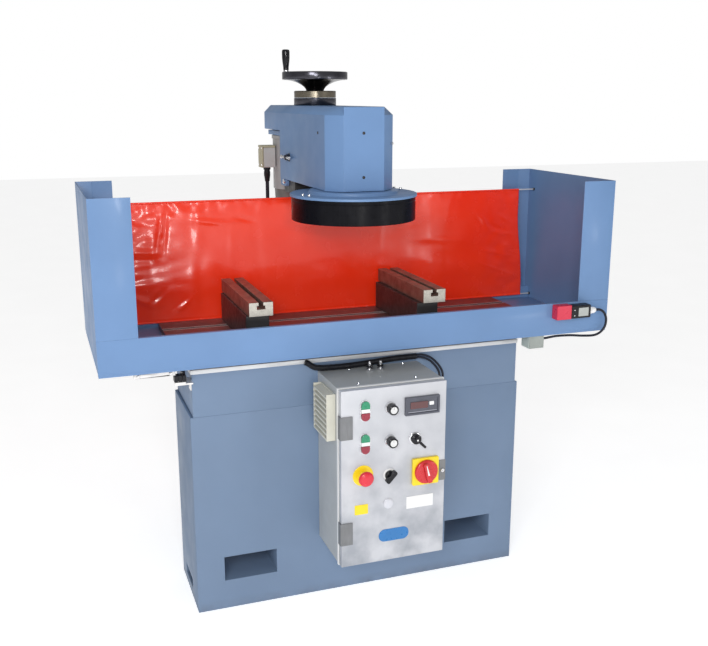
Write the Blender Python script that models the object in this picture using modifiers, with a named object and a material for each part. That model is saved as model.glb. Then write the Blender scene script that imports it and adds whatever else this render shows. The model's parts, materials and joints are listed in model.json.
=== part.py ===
"""Surface grinder for engine heads and blocks: a travelling table in a splash tray, a vertical wheel
head on a round column, and a control cabinet on the front of a welded base.

Metres, +Z up. The origin is on the floor at the centre of the base. +X runs along the table's travel,
and the operator stands at -Y, where the cabinet is.
"""

import math

import bmesh
import bpy
from mathutils import Matrix, Vector

# Driving dimensions
GAP = 0.0003
BASE_W, BASE_D, BASE_H = 0.990, 0.265, 0.583
BASE_WALL = 0.008
FORK_X, FORK_W, FORK_LOW, FORK_HIGH = 0.341, 0.152, 0.087, 0.159
BED_TOP = 0.704
PLATE_TOP = 0.716
WAY_TOP = 0.7297
TABLE_BOTTOM, TABLE_TOP = 0.730, 0.770
TABLE_X = (-0.524, 0.576)
TABLE_Y = (-0.150, 0.205)
TABLE_SLOTS = (-0.0625, 0.0275, 0.1175)
TRAY_X = 0.006
TRAY_HALF = 0.735
TRAY_FRONT, TRAY_BACK = -0.2155, 0.2675
TRAY_FLOOR = 0.750
APRON_TOP, GUARD_TOP = 0.837, 1.186
GUARD_FLANGE = 0.102
SHEET = 0.0025
CURTAIN_Y = 0.2295
CURTAIN_X = (-0.678, 0.690)
WIRE_Z = (0.7665, 1.1212)
SCREW_Z = 0.668
NUT_X = -0.081
SPINDLE_Y = -0.0445
COLUMN_Y = 0.3085
MOTOR_Y = 0.4745
COLUMN_R, COLUMN_BORE, COLUMN_TOP = 0.048, 0.030, 1.340
HEAD_HALF, HEAD_FRONT, HEAD_BACK, COVER_BACK = 0.098, -0.1305, 0.3705, 0.562
HEAD_LOW, COVER_LOW, HEAD_TOP = 1.171, 1.318, 1.394
CORNER, TOP_BEVEL = 0.040, 0.022
GUARD_R, SKIRT_R, SKIRT_LOW, SKIRT_HIGH = 0.1775, 0.1735, 1.088, 1.1532
PULLEY_R, PULLEY_Z, BELT_Z = 0.075, (1.335, 1.3755), (1.345, 1.365)
SCREW_R = 0.012
DUCT_X = -0.115
CAB_X = (-0.1365, 0.1635)
CAB_Z = (0.180, 0.680)
CAB_BACK, CAB_RIM, DOOR_BACK, DOOR_FRONT = -0.1328, -0.3130, -0.3155, -0.3333
HINGE = (-0.1384, -0.3145)
FACE = DOOR_FRONT - GAP
HANDWHEEL_R, GRIP_ANGLE, GRIP_R = 0.100, math.radians(160), 0.088

PARTS = None
CUTTERS = None


# Tools for making objects

def start_scene():
    """Empties the scene and makes the two collections, one for the machine and one for its cutters."""
    global PARTS, CUTTERS
    for old in list(bpy.data.objects):
        bpy.data.objects.remove(old)
    PARTS = bpy.data.collections.new("surface_grinder")
    CUTTERS = bpy.data.collections.new("surface_grinder_cutters")
    for made in (PARTS, CUTTERS):
        bpy.context.scene.collection.children.link(made)


def material(name, colour, roughness=0.5, metallic=0.0):
    found = bpy.data.materials.get(name)
    if found:
        return found
    made = bpy.data.materials.new(name)
    made.use_nodes = True
    shader = made.node_tree.nodes["Principled BSDF"]
    shader.inputs["Base Color"].default_value = (*colour, 1)
    shader.inputs["Roughness"].default_value = roughness
    shader.inputs["Metallic"].default_value = metallic
    made.diffuse_color = (*colour, 1)
    return made


def blue():
    return material("machine_blue", (0.20, 0.34, 0.58), 0.35)


def base_blue():
    return material("base_blue", (0.19, 0.28, 0.38), 0.45)


def steel():
    return material("ground_steel", (0.55, 0.55, 0.56), 0.28, 1.0)


def iron():
    return material("cast_iron", (0.16, 0.15, 0.14), 0.6, 0.8)


def blued_steel():
    return material("blued_steel", (0.10, 0.10, 0.11), 0.25, 1.0)


def black():
    return material("black_plastic", (0.02, 0.02, 0.022), 0.4)


def cabinet_grey():
    return material("cabinet_grey", (0.62, 0.62, 0.60), 0.35)


def door_grey():
    return material("door_grey", (0.74, 0.75, 0.80), 0.3)


def red():
    return material("signal_red", (0.62, 0.03, 0.03), 0.35)


def finish(obj, name, look):
    obj.name = name
    obj.data.name = name
    if look is not None:
        obj.data.materials.clear()
        obj.data.materials.append(look)
    return obj


def from_bmesh(name, bm, place, look, smooth=False):
    mesh = bpy.data.meshes.new(name)
    bm.to_mesh(mesh)
    bm.free()
    obj = bpy.data.objects.new(name, mesh)
    obj.location = place
    PARTS.objects.link(obj)
    if smooth:
        mesh.shade_smooth()
        mesh.set_sharp_from_angle(angle=math.radians(35))
    return finish(obj, name, look)


def block(name, x, y, z, look=None, bevel=0.0):
    """A box between the two x, y and z limits, its origin at its centre."""
    low, high = Vector((x[0], y[0], z[0])), Vector((x[1], y[1], z[1]))
    bm = bmesh.new()
    bmesh.ops.create_cube(bm, size=1)
    bmesh.ops.scale(bm, vec=high - low, verts=bm.verts)
    obj = from_bmesh(name, bm, (low + high) / 2, look)
    if bevel:
        round_edges(obj, bevel)
    return obj


def round_edges(obj, width, segments=1):
    edge = obj.modifiers.new("rounded", "BEVEL")
    edge.width = width
    edge.segments = segments
    edge.limit_method = "ANGLE"
    edge.angle_limit = math.radians(40)


def rod(name, place, radius, length, axis="Z", look=None, segments=32, tip=None):
    """A cylinder, or a cone with a tip radius, centred on place and lying along an axis."""
    bm = bmesh.new()
    far = radius if tip is None else tip
    bmesh.ops.create_cone(bm, cap_ends=True, segments=segments, radius1=radius, radius2=far, depth=length)
    turn = {"X": Matrix.Rotation(math.pi / 2, 3, "Y"), "Y": Matrix.Rotation(math.pi / 2, 3, "X")}
    if axis in turn:
        bmesh.ops.rotate(bm, matrix=turn[axis], verts=bm.verts)
    return from_bmesh(name, bm, place, look, smooth=True)


def turned(name, profile, place, look=None, steps=32, closed=True, to_front=False):
    """A turned solid. The profile's (radius, height) points run down its outer side, top first.
    A profile that is not closed starts and ends on the axis. to_front lays its top towards -Y."""
    bm = bmesh.new()
    points = [bm.verts.new((radius, 0, height)) for radius, height in profile]
    pairs = list(zip(points, points[1:]))
    if closed:
        pairs.append((points[-1], points[0]))
    for pair in pairs:
        bm.edges.new(pair)
    obj = from_bmesh(name, bm, place, look)
    screw = obj.modifiers.new("turned", "SCREW")
    screw.axis = "Z"
    screw.steps = screw.render_steps = steps
    screw.use_merge_vertices = True
    screw.merge_threshold = 0.00005
    screw.use_smooth_shade = True
    if to_front:
        obj.rotation_euler = (math.pi / 2, 0, 0)
    return obj


def as_mesh(obj, look):
    """A mesh object with the shape and place of a curve object, its caps welded to its sides."""
    bpy.context.view_layer.update()
    shape = bpy.data.meshes.new_from_object(obj.evaluated_get(bpy.context.evaluated_depsgraph_get()))
    bm = bmesh.new()
    bm.from_mesh(shape)
    bmesh.ops.remove_doubles(bm, verts=bm.verts, dist=0.00001)
    bm.to_mesh(shape)
    bm.free()
    name = obj.name
    made = bpy.data.objects.new(name, shape)
    made.matrix_world = obj.matrix_world.copy()
    PARTS.objects.link(made)
    bpy.data.objects.remove(obj)
    return finish(made, name, look)


def plate(name, outlines, limits, plane, look=None):
    """A flat plate from closed outlines, the first outside and the others holes. plane names the two
    axes of an outline's points, and limits are the plate's ends along the third."""
    curve = bpy.data.curves.new(name, "CURVE")
    curve.dimensions = "2D"
    curve.fill_mode = "BOTH"
    curve.extrude = (limits[1] - limits[0]) / 2
    for outline in outlines:
        spline = curve.splines.new("POLY")
        spline.points.add(len(outline) - 1)
        for point, (a, b) in zip(spline.points, outline):
            point.co = (a, b, 0, 1)
        spline.use_cyclic_u = True
    middle = (limits[0] + limits[1]) / 2
    obj = bpy.data.objects.new(name, curve)
    turn, place = {
        "XY": ((0, 0, 0), (0, 0, middle)),
        "XZ": ((math.pi / 2, 0, 0), (0, middle, 0)),
        "YZ": ((math.pi / 2, 0, math.pi / 2), (middle, 0, 0)),
    }[plane]
    obj.rotation_euler = turn
    obj.location = place
    PARTS.objects.link(obj)
    return as_mesh(obj, look)


def folded_sheet(name, path, limits, plane, look=None):
    """Sheet metal bent along an open path and run between two limits. The path is the outer face, and
    the sheet's thickness lies to the left of it as the path is walked."""
    bm = bmesh.new()
    third = {"XY": 2, "YZ": 0}[plane]

    def spot(point, end):
        place = list(point)
        place.insert(third, end)
        return bm.verts.new(place)

    row = [spot(point, limits[0]) for point in path]
    edges = [bm.edges.new(pair) for pair in zip(row, row[1:])]
    made = bmesh.ops.extrude_edge_only(bm, edges=edges)["geom"]
    run = Vector((0, 0, 0))
    run[third] = limits[1] - limits[0]
    bmesh.ops.translate(bm, vec=run, verts=[v for v in made if isinstance(v, bmesh.types.BMVert)])
    obj = from_bmesh(name, bm, (0, 0, 0), look)
    shell = obj.modifiers.new("sheet", "SOLIDIFY")
    shell.thickness = SHEET
    shell.offset = 1
    shell.use_even_offset = True
    return obj


def smooth_route(route, step):
    """Points along a smooth curve through the route, about a step apart."""
    points = [Vector(p) for p in route]
    points = [2 * points[0] - points[1]] + points + [2 * points[-1] - points[-2]]
    found = []
    for a, b, c, d in zip(points, points[1:], points[2:], points[3:]):
        count = max(1, round((c - b).length / step))
        for i in range(count):
            t = i / count
            bend = (2 * a - 5 * b + 4 * c - d) * t * t + (3 * b - a - 3 * c + d) * t * t * t
            found.append(b + ((c - a) * t + bend) / 2)
    found.append(points[-2])
    return found


def tube(name, route, radius, look, step):
    curve = bpy.data.curves.new(name, "CURVE")
    curve.dimensions = "3D"
    curve.bevel_depth = radius
    curve.bevel_resolution = 2
    curve.use_fill_caps = True
    spline = curve.splines.new("POLY")
    points = smooth_route(route, step)
    spline.points.add(len(points) - 1)
    for point, place in zip(spline.points, points):
        point.co = (*place, 1)
    obj = bpy.data.objects.new(name, curve)
    PARTS.objects.link(obj)
    return as_mesh(obj, look)


def boolean(obj, other, operation):
    change = obj.modifiers.new(operation.lower(), "BOOLEAN")
    change.operation = operation
    change.solver = "EXACT"
    change.object = other
    other.hide_render = True
    other.display_type = "WIRE"
    other.name = f"{obj.name}_{operation.lower()}_{len(obj.modifiers)}"
    PARTS.objects.unlink(other)
    CUTTERS.objects.link(other)
    return obj


def cut(obj, *cutters):
    for cutter in cutters:
        boolean(obj, cutter, "DIFFERENCE")
    return obj


def join(obj, *others):
    for other in others:
        boolean(obj, other, "UNION")
    return obj


def about(middle, half):
    return (middle - half, middle + half)


def inner(limits, wall):
    return (limits[0] + wall, limits[1] - wall)


def carry(name, place, *objects):
    """An empty on a joint's axis that carries the pieces that move with it."""
    axis = bpy.data.objects.new(f"{name}_axis", None)
    axis.location = place
    axis.empty_display_size = 0.05
    PARTS.objects.link(axis)
    bpy.context.view_layer.update()
    for obj in objects:
        obj.parent = axis
        obj.matrix_parent_inverse = axis.matrix_world.inverted()
    return axis


# The base, the bed and the column

def make_base():
    half_w, half_d = BASE_W / 2, BASE_D / 2
    inside_w, inside_d = half_w - BASE_WALL, half_d - BASE_WALL
    base = block("base_cabinet", about(0, half_w), about(0, half_d), (0, BASE_H), base_blue())
    cut(base, block("hollow", about(0, inside_w), about(0, inside_d), (BASE_WALL, BASE_H + 0.02)))
    fork = (FORK_LOW, FORK_HIGH)
    sleeve = (FORK_LOW - 0.005, FORK_HIGH + 0.005)
    for side in (-1, 1):
        middle = side * FORK_X
        join(base, block("sleeve", about(middle, FORK_W / 2 + 0.005), about(0, half_d - 0.002), sleeve))
        cut(base, block("pocket", about(middle, FORK_W / 2), about(0, half_d + 0.02), fork))
    cut(base, block("side_slots", about(0, half_w + 0.02), (-0.040, 0.068), (0.026, 0.056)))


def make_bed():
    half_w, half_d = BASE_W / 2 - 0.008, BASE_D / 2
    bed = block("bed", about(0, half_w), about(0, half_d), (BASE_H + GAP, BED_TOP), base_blue())
    cut(
        bed,
        block("underside", about(0, half_w - 0.012), about(0, half_d - 0.012), (0.55, 0.612)),
        block("channel", about(0, 0.465), about(0, 0.036), (0.625, 0.72)),
        rod("screw_bores", (0, 0, SCREW_Z), 0.0103, BASE_W + 0.1, "X", segments=24),
    )
    plate_z = (BED_TOP + GAP, PLATE_TOP)
    top = block("bed_top_plate", about(0, half_w + 0.003), about(0, 0.134), plate_z, steel())
    cut(top, block("slot", about(0, 0.466), about(0, 0.036), (0.69, 0.73)))
    for y in ((-0.1035, -0.078), (0.078, 0.1035)):
        join(top, block("way", about(0, half_w), y, (PLATE_TOP - 0.001, WAY_TOP)))


def make_pedestal():
    pedestal = block("column_pedestal", about(0, 0.190), (0.1328, 0.510), (0, 0.700), base_blue())
    cut(pedestal, block("hollow", about(0, 0.180), (0.1428, 0.500), (-0.02, 0.688)))
    join(pedestal, rod("duct", (DUCT_X, MOTOR_Y, 0.876), 0.015, 0.368, look=None, segments=24))
    cut(pedestal, rod("duct_bore", (DUCT_X, MOTOR_Y, 0.88), 0.011, 0.42, segments=24))
    foot, nut_low = 0.7228, 1.295
    profile = [
        (SCREW_R + 0.0005, COLUMN_TOP),
        (COLUMN_R, COLUMN_TOP),
        (COLUMN_R, foot),
        (0.095, foot),
        (0.095, 0.7003),
        (COLUMN_BORE, 0.7003),
        (COLUMN_BORE, nut_low),
        (SCREW_R + 0.0005, nut_low),
    ]
    column = turned("column", profile, (0, COLUMN_Y, 0), steel(), steps=40)
    key_y = (COLUMN_Y + COLUMN_R - 0.003, COLUMN_Y + COLUMN_R + 0.003)
    join(column, block("key", about(0, 0.007), key_y, (0.76, 1.33)))


def make_table_drive():
    profile = [(0, 0.304), (0.015, 0.304), (0.015, 0.299), (0.010, 0.299), (0.010, -0.486), (0, -0.486)]
    screw = turned("table_screw", profile, (0, 0, SCREW_Z), steel(), steps=24, closed=False)
    screw.rotation_euler = (0, math.pi / 2, 0)
    carry("table_screw", (0, 0, SCREW_Z), screw)
    motor = rod("table_gearmotor", (0.3795, 0, SCREW_Z), 0.032, 0.150, "X", black(), 28)
    join(motor, rod("tail_boss", (0.461, 0, SCREW_Z), 0.0095, 0.05, "X", segments=20))


def make_limit_switch():
    body = block("limit_switch", (-0.536, -0.508), (-0.172, -0.148), (0.690, 0.708), black())
    join(
        body,
        block("foot", (-0.530, -0.4873), (-0.160, -0.105), (0.6865, 0.6905)),
        block("ear", (-0.4905, -0.4873), (-0.130, -0.105), (0.660, 0.690)),
    )
    cut(body, rod("plunger_bore", (-0.522, -0.160, 0.71), 0.0045, 0.02, segments=16))
    plunger = rod("limit_roller", (-0.522, -0.160, 0.7095), 0.003, 0.010, look=steel(), segments=12)
    join(plunger, rod("roller", (-0.522, -0.160, 0.7140), 0.0035, 0.008, "Y", segments=16))
    carry("limit_roller", (-0.522, -0.160, 0.7140), plunger)


# The table, its tray and what it carries

def cut_t_slot(obj, run, middle, top, half_widths, depths, along="X"):
    """Cuts a T-shaped slot: half_widths are its throat's and its head's, and depths are those of the
    head's top and bottom below the face that it opens in."""
    throat, head = half_widths
    shoulder, floor = depths
    for half, high, low in ((throat, -0.01, shoulder + 0.001), (head, shoulder, floor)):
        across = about(middle, half)
        x, y = (run, across) if along == "X" else (across, run)
        cut(obj, block("slot", x, y, (top - low, top - high)))


def make_table():
    table = block("table", TABLE_X, TABLE_Y, (TABLE_BOTTOM, TABLE_TOP), steel())
    legs_x = (TABLE_X[0] + 0.001, TABLE_X[1] - 0.001)
    for y in ((-0.126, -0.106), (0.106, 0.126)):
        join(table, block("leg", legs_x, y, (0.7185, TABLE_BOTTOM + 0.001)))
    join(table, block("nut", about(NUT_X, 0.0225), about(0, 0.030), (0.640, TABLE_BOTTOM + 0.001)))
    cut(table, rod("nut_bore", (NUT_X, 0, SCREW_Z), 0.0104, 0.08, "X", segments=24))
    for middle in TABLE_SLOTS:
        run = (TABLE_X[0] - 0.01, TABLE_X[1] + 0.01)
        cut_t_slot(table, run, middle, TABLE_TOP, (0.007, 0.012), (0.013, 0.022))
    return table


def make_tray():
    left, right = TRAY_X - TRAY_HALF, TRAY_X + TRAY_HALF
    lip = 0.240
    path = [
        (TRAY_FRONT + 0.0125, APRON_TOP),
        (TRAY_FRONT, APRON_TOP),
        (TRAY_FRONT, TRAY_FLOOR),
        (lip, TRAY_FLOOR),
        (lip, 0.790),
    ]
    tray = folded_sheet("splash_tray", path, (left, right), "YZ", blue())
    hole_x = (TABLE_X[0] - GAP, TABLE_X[1] + GAP)
    hole_y = (TABLE_Y[0] - GAP, TABLE_Y[1] + GAP)
    cut(tray, block("table_hole", hole_x, hole_y, (0.74, 0.76)))
    stiffener_y = (TRAY_FRONT + 0.003, TRAY_FRONT + 0.023)
    join(tray, block("stiffener", (left + 0.0005, right - 0.0005), stiffener_y, (0.742, TRAY_FLOOR + 0.0005)))
    thick = SHEET + GAP
    for end in ((left - 0.01, left + thick), (right - thick, right + 0.01)):
        guard_room = (TRAY_FRONT + SHEET + 0.0001, lip + 0.01)
        cut(tray, block("guard_room", end, guard_room, (TRAY_FLOOR + SHEET + 0.0001, APRON_TOP + 0.01)))
    return tray


def make_end_guard(name, side):
    outer = TRAY_X + side * TRAY_HALF
    inner = outer - side * GUARD_FLANGE
    path = [(inner, TRAY_FRONT), (outer, TRAY_FRONT), (outer, TRAY_BACK), (inner, TRAY_BACK)]
    if side < 0:
        path.reverse()
    guard = folded_sheet(name, path, (TRAY_FLOOR + SHEET + GAP, GUARD_TOP), "XY", blue())
    ends = sorted((outer + side * 0.01, inner - side * 0.01))
    relief = block("apron_relief", ends, (TRAY_FRONT - 0.001, TRAY_FRONT + 0.0028), (0.70, APRON_TOP + GAP))
    return cut(guard, relief)


def make_curtain():
    vinyl = material("red_vinyl", (0.80, 0.06, 0.02), 0.25)
    z = (WIRE_Z[0] + 0.0025, WIRE_Z[1] - 0.0027)
    curtain = block("curtain", CURTAIN_X, about(CURTAIN_Y, 0.003), z, vinyl)
    wall = TRAY_HALF - SHEET - GAP
    wires = [
        rod(f"curtain_wire_{end}", (TRAY_X, CURTAIN_Y, z), 0.002, 2 * wall, "X", steel(), 12)
        for end, z in zip(("bottom", "top"), WIRE_Z)
    ]
    return [curtain, *wires]


def make_interlock():
    y = (TRAY_FRONT - 0.030, TRAY_FRONT - GAP)
    switch = block("interlock_switch", (0.6015, 0.665), y, (0.793, 0.833), black())
    join(
        switch,
        block("actuator", (0.552, 0.602), y, (0.793, 0.835)),
        rod("gland", (0.6768, -0.231, 0.812), 0.011, 0.026, "X", segments=20),
    )
    box = block("junction_box", (0.487, 0.536), (-0.205, -0.160), (0.703, 0.7417), cabinet_grey(), 0.002)
    route = [
        (0.6903, -0.2310, 0.8120),
        (0.7050, -0.2310, 0.8110),
        (0.7200, -0.2310, 0.8010),
        (0.7290, -0.2305, 0.7820),
        (0.7280, -0.2290, 0.7600),
        (0.7160, -0.2270, 0.7420),
        (0.6950, -0.2240, 0.7325),
        (0.6600, -0.2190, 0.7325),
        (0.6200, -0.2120, 0.7355),
        (0.5800, -0.2030, 0.7345),
        (0.5500, -0.1910, 0.7280),
        (0.5363, -0.1905, 0.7275),
    ]
    cable = tube("interlock_cable", route, 0.0035, black(), 0.012)
    return [switch, box, cable]


def make_trip_rail():
    rail = block("trip_rail", (-0.640, -0.534), (-0.170, -0.1505), (0.7185, 0.7305), steel())
    for x in (-0.628, -0.546):
        join(
            rail,
            rod("post", (x, -0.160, 0.737), 0.004, 0.0254, segments=12),
            rod("bolt_head", (x, -0.1725, 0.7245), 0.005, 0.006, "Y", segments=6),
        )
    return rail


def make_work_support(name, bar_x, riser_x):
    middle, top = (bar_x[0] + bar_x[1]) / 2, 0.891
    support = block(name, bar_x, (-0.1525, 0.2055), (0.852, top), iron())
    join(support, block("riser", riser_x, (-0.140, 0.190), (TABLE_TOP + GAP, 0.8525)))
    cut_t_slot(support, (-0.16, 0.22), middle, top, (0.006, 0.011), (0.010, 0.019), "Y")
    return carry(name, (middle, 0, TABLE_TOP), support)


# The wheel head

def head_volume(name, inset, low, notch_top):
    """The head's outline less an inset: its front corners cut at 45 degrees, its top edges bevelled at
    the sides, and a notch behind, under the overhang of the belt cover."""
    low_corner = Vector((-HEAD_HALF + inset, HEAD_FRONT + inset, low))
    high_corner = Vector((HEAD_HALF - inset, COVER_BACK - inset, HEAD_TOP - inset))
    shrink = inset * (2 - math.sqrt(2))
    bm = bmesh.new()
    bmesh.ops.create_cube(bm, size=1)
    bmesh.ops.scale(bm, vec=high_corner - low_corner, verts=bm.verts)
    bmesh.ops.translate(bm, vec=(low_corner + high_corner) / 2, verts=bm.verts)

    def edges_between(axis, low_limit, high_limit):
        """The edges whose two ends both lie between two limits along an axis."""
        return {e for e in bm.edges if all(low_limit < v.co[axis] < high_limit for v in e.verts)}

    near = 0.0001
    front = edges_between(1, low_corner.y - near, low_corner.y + near)
    top = edges_between(2, high_corner.z - near, high_corner.z + near)
    bottom = edges_between(2, low_corner.z - near, low_corner.z + near)
    bmesh.ops.bevel(bm, geom=list(front - top - bottom), offset=CORNER - shrink, segments=1, affect="EDGES")
    front = edges_between(1, low_corner.y - near, low_corner.y + near)
    back = edges_between(1, high_corner.y - near, high_corner.y + near)
    top = edges_between(2, high_corner.z - near, high_corner.z + near)
    bmesh.ops.bevel(bm, geom=list(top - front - back), offset=TOP_BEVEL - shrink, segments=1, affect="EDGES")
    bmesh.ops.recalc_face_normals(bm, faces=bm.faces)
    volume = from_bmesh(name, bm, (0, 0, 0), None)
    notch = block("notch", about(0, 0.15), (HEAD_BACK - inset, COVER_BACK + 0.05), (low - 0.02, notch_top))
    return cut(volume, notch)


def make_head_cover():
    cover = finish(head_volume("head_cover", 0.0, HEAD_LOW, COVER_LOW), "head_cover", blue())
    inner = head_volume("inside", SHEET, HEAD_LOW - 0.02, 1.296)
    return cut(cover, inner, rod("collar_hole", (0, COLUMN_Y, HEAD_TOP), 0.0645, 0.04, segments=40))


def make_head_casting():
    casting = block("head_casting", about(0, 0.092), (0.215, 0.3675), (1.178, 1.332), iron())
    join(
        casting,
        block("web", about(0, 0.050), (-0.020, 0.220), (1.195, 1.300)),
        rod("spindle_boss", (0, SPINDLE_Y, 1.2435), 0.062, 0.143, segments=32),
        block("motor_plate", about(0, 0.088), (0.360, 0.552), (1.3003, 1.3147)),
        block("front_post", about(0, 0.030), (0.222, 0.244), (1.325, 1.386)),
        block("rear_post", about(0, 0.030), (0.373, 0.395), (1.310, 1.386)),
        block("bridge", about(0, 0.049), (0.2225, 0.3945), (1.384, 1.391)),
        rod("collar", (0, COLUMN_Y, 1.40375), 0.064, 0.0265, segments=40),
    )
    cut(
        casting,
        rod("column_bore", (0, COLUMN_Y, 1.24175), COLUMN_R + 0.0004, 0.2835, segments=40),
        block("keyway", about(0, 0.0078), (0.345, 0.3603), (1.10, 1.3835)),
        rod("spindle_bore", (0, SPINDLE_Y, 1.25), 0.0405, 0.30, segments=32),
        rod("motor_shaft_hole", (0, MOTOR_Y, 1.31), 0.020, 0.10, segments=24),
        rod("feed_screw_bore", (0, COLUMN_Y, 1.40), SCREW_R + 0.0005, 0.10, segments=24),
    )
    return casting


def make_wheel_guard():
    place = (0, SPINDLE_Y, 0)
    step, rim = 1.1697, 1.1605
    underside = SKIRT_HIGH + GAP
    bore = 0.041
    raised = [(bore, step), (0.120, step), (0.120, rim)]
    disc = raised + [(GUARD_R, rim), (GUARD_R, underside), (bore, underside)]
    thin = SKIRT_R - 0.003
    skirt = [(thin, SKIRT_HIGH), (SKIRT_R, SKIRT_HIGH), (SKIRT_R, SKIRT_LOW), (thin, SKIRT_LOW)]
    return [
        turned("guard_disc", disc, place, blue(), steps=56),
        turned("guard_skirt", skirt, place, black(), steps=56),
    ]


def make_spindle():
    place = (0, SPINDLE_Y, 0)
    shaft = [
        (0, PULLEY_Z[1]),
        (PULLEY_R, PULLEY_Z[1]),
        (PULLEY_R, PULLEY_Z[0]),
        (0.030, PULLEY_Z[0]),
        (0.030, 1.320),
        (0.0395, 1.320),
        (0.0395, 1.1303),
        (0, 1.1303),
    ]
    cup = [(0, 1.130), (0.150, 1.130), (0.150, 1.085), (0.118, 1.085), (0.118, 1.115), (0, 1.115)]
    spindle = turned("spindle", shaft, place, steel(), steps=36, closed=False)
    grit = material("abrasive", (0.35, 0.33, 0.30), 0.9)
    wheel = turned("grinding_wheel", cup, place, grit, steps=40, closed=False)
    return carry("spindle", place, spindle, wheel)


def make_motor():
    place = (0, MOTOR_Y, 0)
    shaft = [
        (0, PULLEY_Z[1]),
        (PULLEY_R, PULLEY_Z[1]),
        (PULLEY_R, PULLEY_Z[0]),
        (SCREW_R, PULLEY_Z[0]),
        (SCREW_R, 1.3003),
        (0, 1.3003),
    ]
    pulley = turned("motor_pulley", shaft, place, steel(), steps=36, closed=False)
    pulley_axis = carry("motor_pulley", place, pulley)
    flange = [(0, 1.2998), (0.094, 1.2998), (0.094, 1.288)]
    stator = [(0.091, 1.288), (0.091, 1.128)]
    housing = flange + stator + [(0.086, 1.120), (0.082, 1.062), (0.074, 1.050), (0, 1.050)]
    grey = material("motor_grey", (0.42, 0.42, 0.42), 0.45, 0.3)
    motor = turned("spindle_motor", housing, place, grey, steps=36, closed=False)
    beige = material("box_beige", (0.55, 0.52, 0.42), 0.5)
    box = block("terminal_box", (-0.137, -0.0915), about(MOTOR_Y, 0.0245), (1.198, 1.268), beige)
    join(box, rod("gland", (DUCT_X, MOTOR_Y, 1.1755), 0.010, 0.047, segments=16))
    cable = rod("motor_cable", (DUCT_X, MOTOR_Y, 0.97585), 0.006, 0.3517, look=black(), segments=12)
    return [pulley_axis, motor, box, cable]


def make_drive_belt():
    """The belt's loop: two half circles round the pulleys, joined by straight runs."""

    def loop(radius, count=14):
        turns = [math.pi * i / count for i in range(count + 1)]
        back = [(radius * math.cos(a), MOTOR_Y + radius * math.sin(a)) for a in turns]
        return back + [(-radius * math.cos(a), SPINDLE_Y - radius * math.sin(a)) for a in turns]

    rubber = material("belt_rubber", (0.03, 0.03, 0.03), 0.8)
    return plate("drive_belt", [loop(PULLEY_R + 0.0055), loop(PULLEY_R + 0.0005)], BELT_Z, "XY", rubber)


def make_clamp_lever():
    hub = (-0.1055, 0.265, 1.241)
    lever = rod("clamp_lever", hub, 0.010, 0.0144, "X", steel(), 20)
    bar = rod("bar", (-0.1075, 0.267, 1.241), 0.0042, 0.090, "Y", segments=12)
    bm = bmesh.new()
    bmesh.ops.create_uvsphere(bm, u_segments=14, v_segments=8, radius=0.0065)
    join(lever, bar, from_bmesh("ball", bm, (-0.1075, 0.312, 1.241), None))
    return carry("clamp_lever", hub, lever)


def make_handwheel():
    place = (0, COLUMN_Y, 0)
    profile = [
        (0, 1.490),
        (0.022, 1.490),
        (0.026, 1.482),
        (0.078, 1.482),
        (0.085, 1.494),
        (HANDWHEEL_R, 1.494),
        (HANDWHEEL_R, 1.471),
        (0.085, 1.470),
        (0.060, 1.464),
        (0.037, 1.455),
        (0.028, 1.447),
        (0.026, 1.4385),
        (0, 1.4385),
    ]
    wheel = turned("handwheel", profile, place, blued_steel(), steps=48, closed=False)
    shaft = [(0, 1.4382), (SCREW_R, 1.4382), (SCREW_R, 1.120), (0, 1.120)]
    screw = turned("feed_screw", shaft, place, steel(), steps=20, closed=False)
    ring = [(0.0135, 1.4380), (0.064, 1.4380), (0.064, 1.4175), (0.0135, 1.4175)]
    dial = turned("dial_ring", ring, place, steel(), steps=48)
    grip_profile = [
        (0, 1.560),
        (0.0100, 1.560),
        (0.0118, 1.556),
        (0.0116, 1.535),
        (0.0090, 1.512),
        (0.0088, 1.4945),
        (0, 1.4945),
    ]
    spot = (GRIP_R * math.cos(GRIP_ANGLE), COLUMN_Y + GRIP_R * math.sin(GRIP_ANGLE), 0)
    grip = turned("crank_grip", grip_profile, spot, black(), steps=20, closed=False)
    grip_axis = carry("crank_grip", spot, grip)
    return [carry("handwheel", place, wheel, screw, grip_axis), carry("dial_ring", place, dial)]


# The control cabinet

def make_cabinet():
    box = block("cabinet_box", CAB_X, (CAB_RIM, CAB_BACK), CAB_Z, cabinet_grey())
    wall = 0.002
    cut(box, block("inside", inner(CAB_X, wall), (CAB_RIM - 0.02, CAB_BACK - wall), inner(CAB_Z, wall)))
    for x in (-0.001, 0.031):
        join(
            box,
            rod("gland_base", (x, -0.1815, 0.6825), 0.0095, 0.007, segments=6),
            rod("gland_neck", (x, -0.1815, 0.6940), 0.006, 0.025, segments=16),
            rod("gland_cap", (x, -0.1815, 0.6940), 0.0085, 0.007, segments=12),
        )
    vent = block("vent_grille", (-0.162, CAB_X[0] - GAP), (-0.2875, -0.1705), (0.530, 0.660), cabinet_grey())
    slots = bmesh.new()
    for i in range(8):
        cube = bmesh.ops.create_cube(slots, size=1)["verts"]
        bmesh.ops.scale(slots, vec=(0.016, 0.103, 0.008), verts=cube)
        bmesh.ops.translate(slots, vec=(-0.160, -0.229, 0.5425 + 0.015 * i), verts=cube)
    cut(vent, from_bmesh("slots", slots, (0, 0, 0), None))


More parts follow.
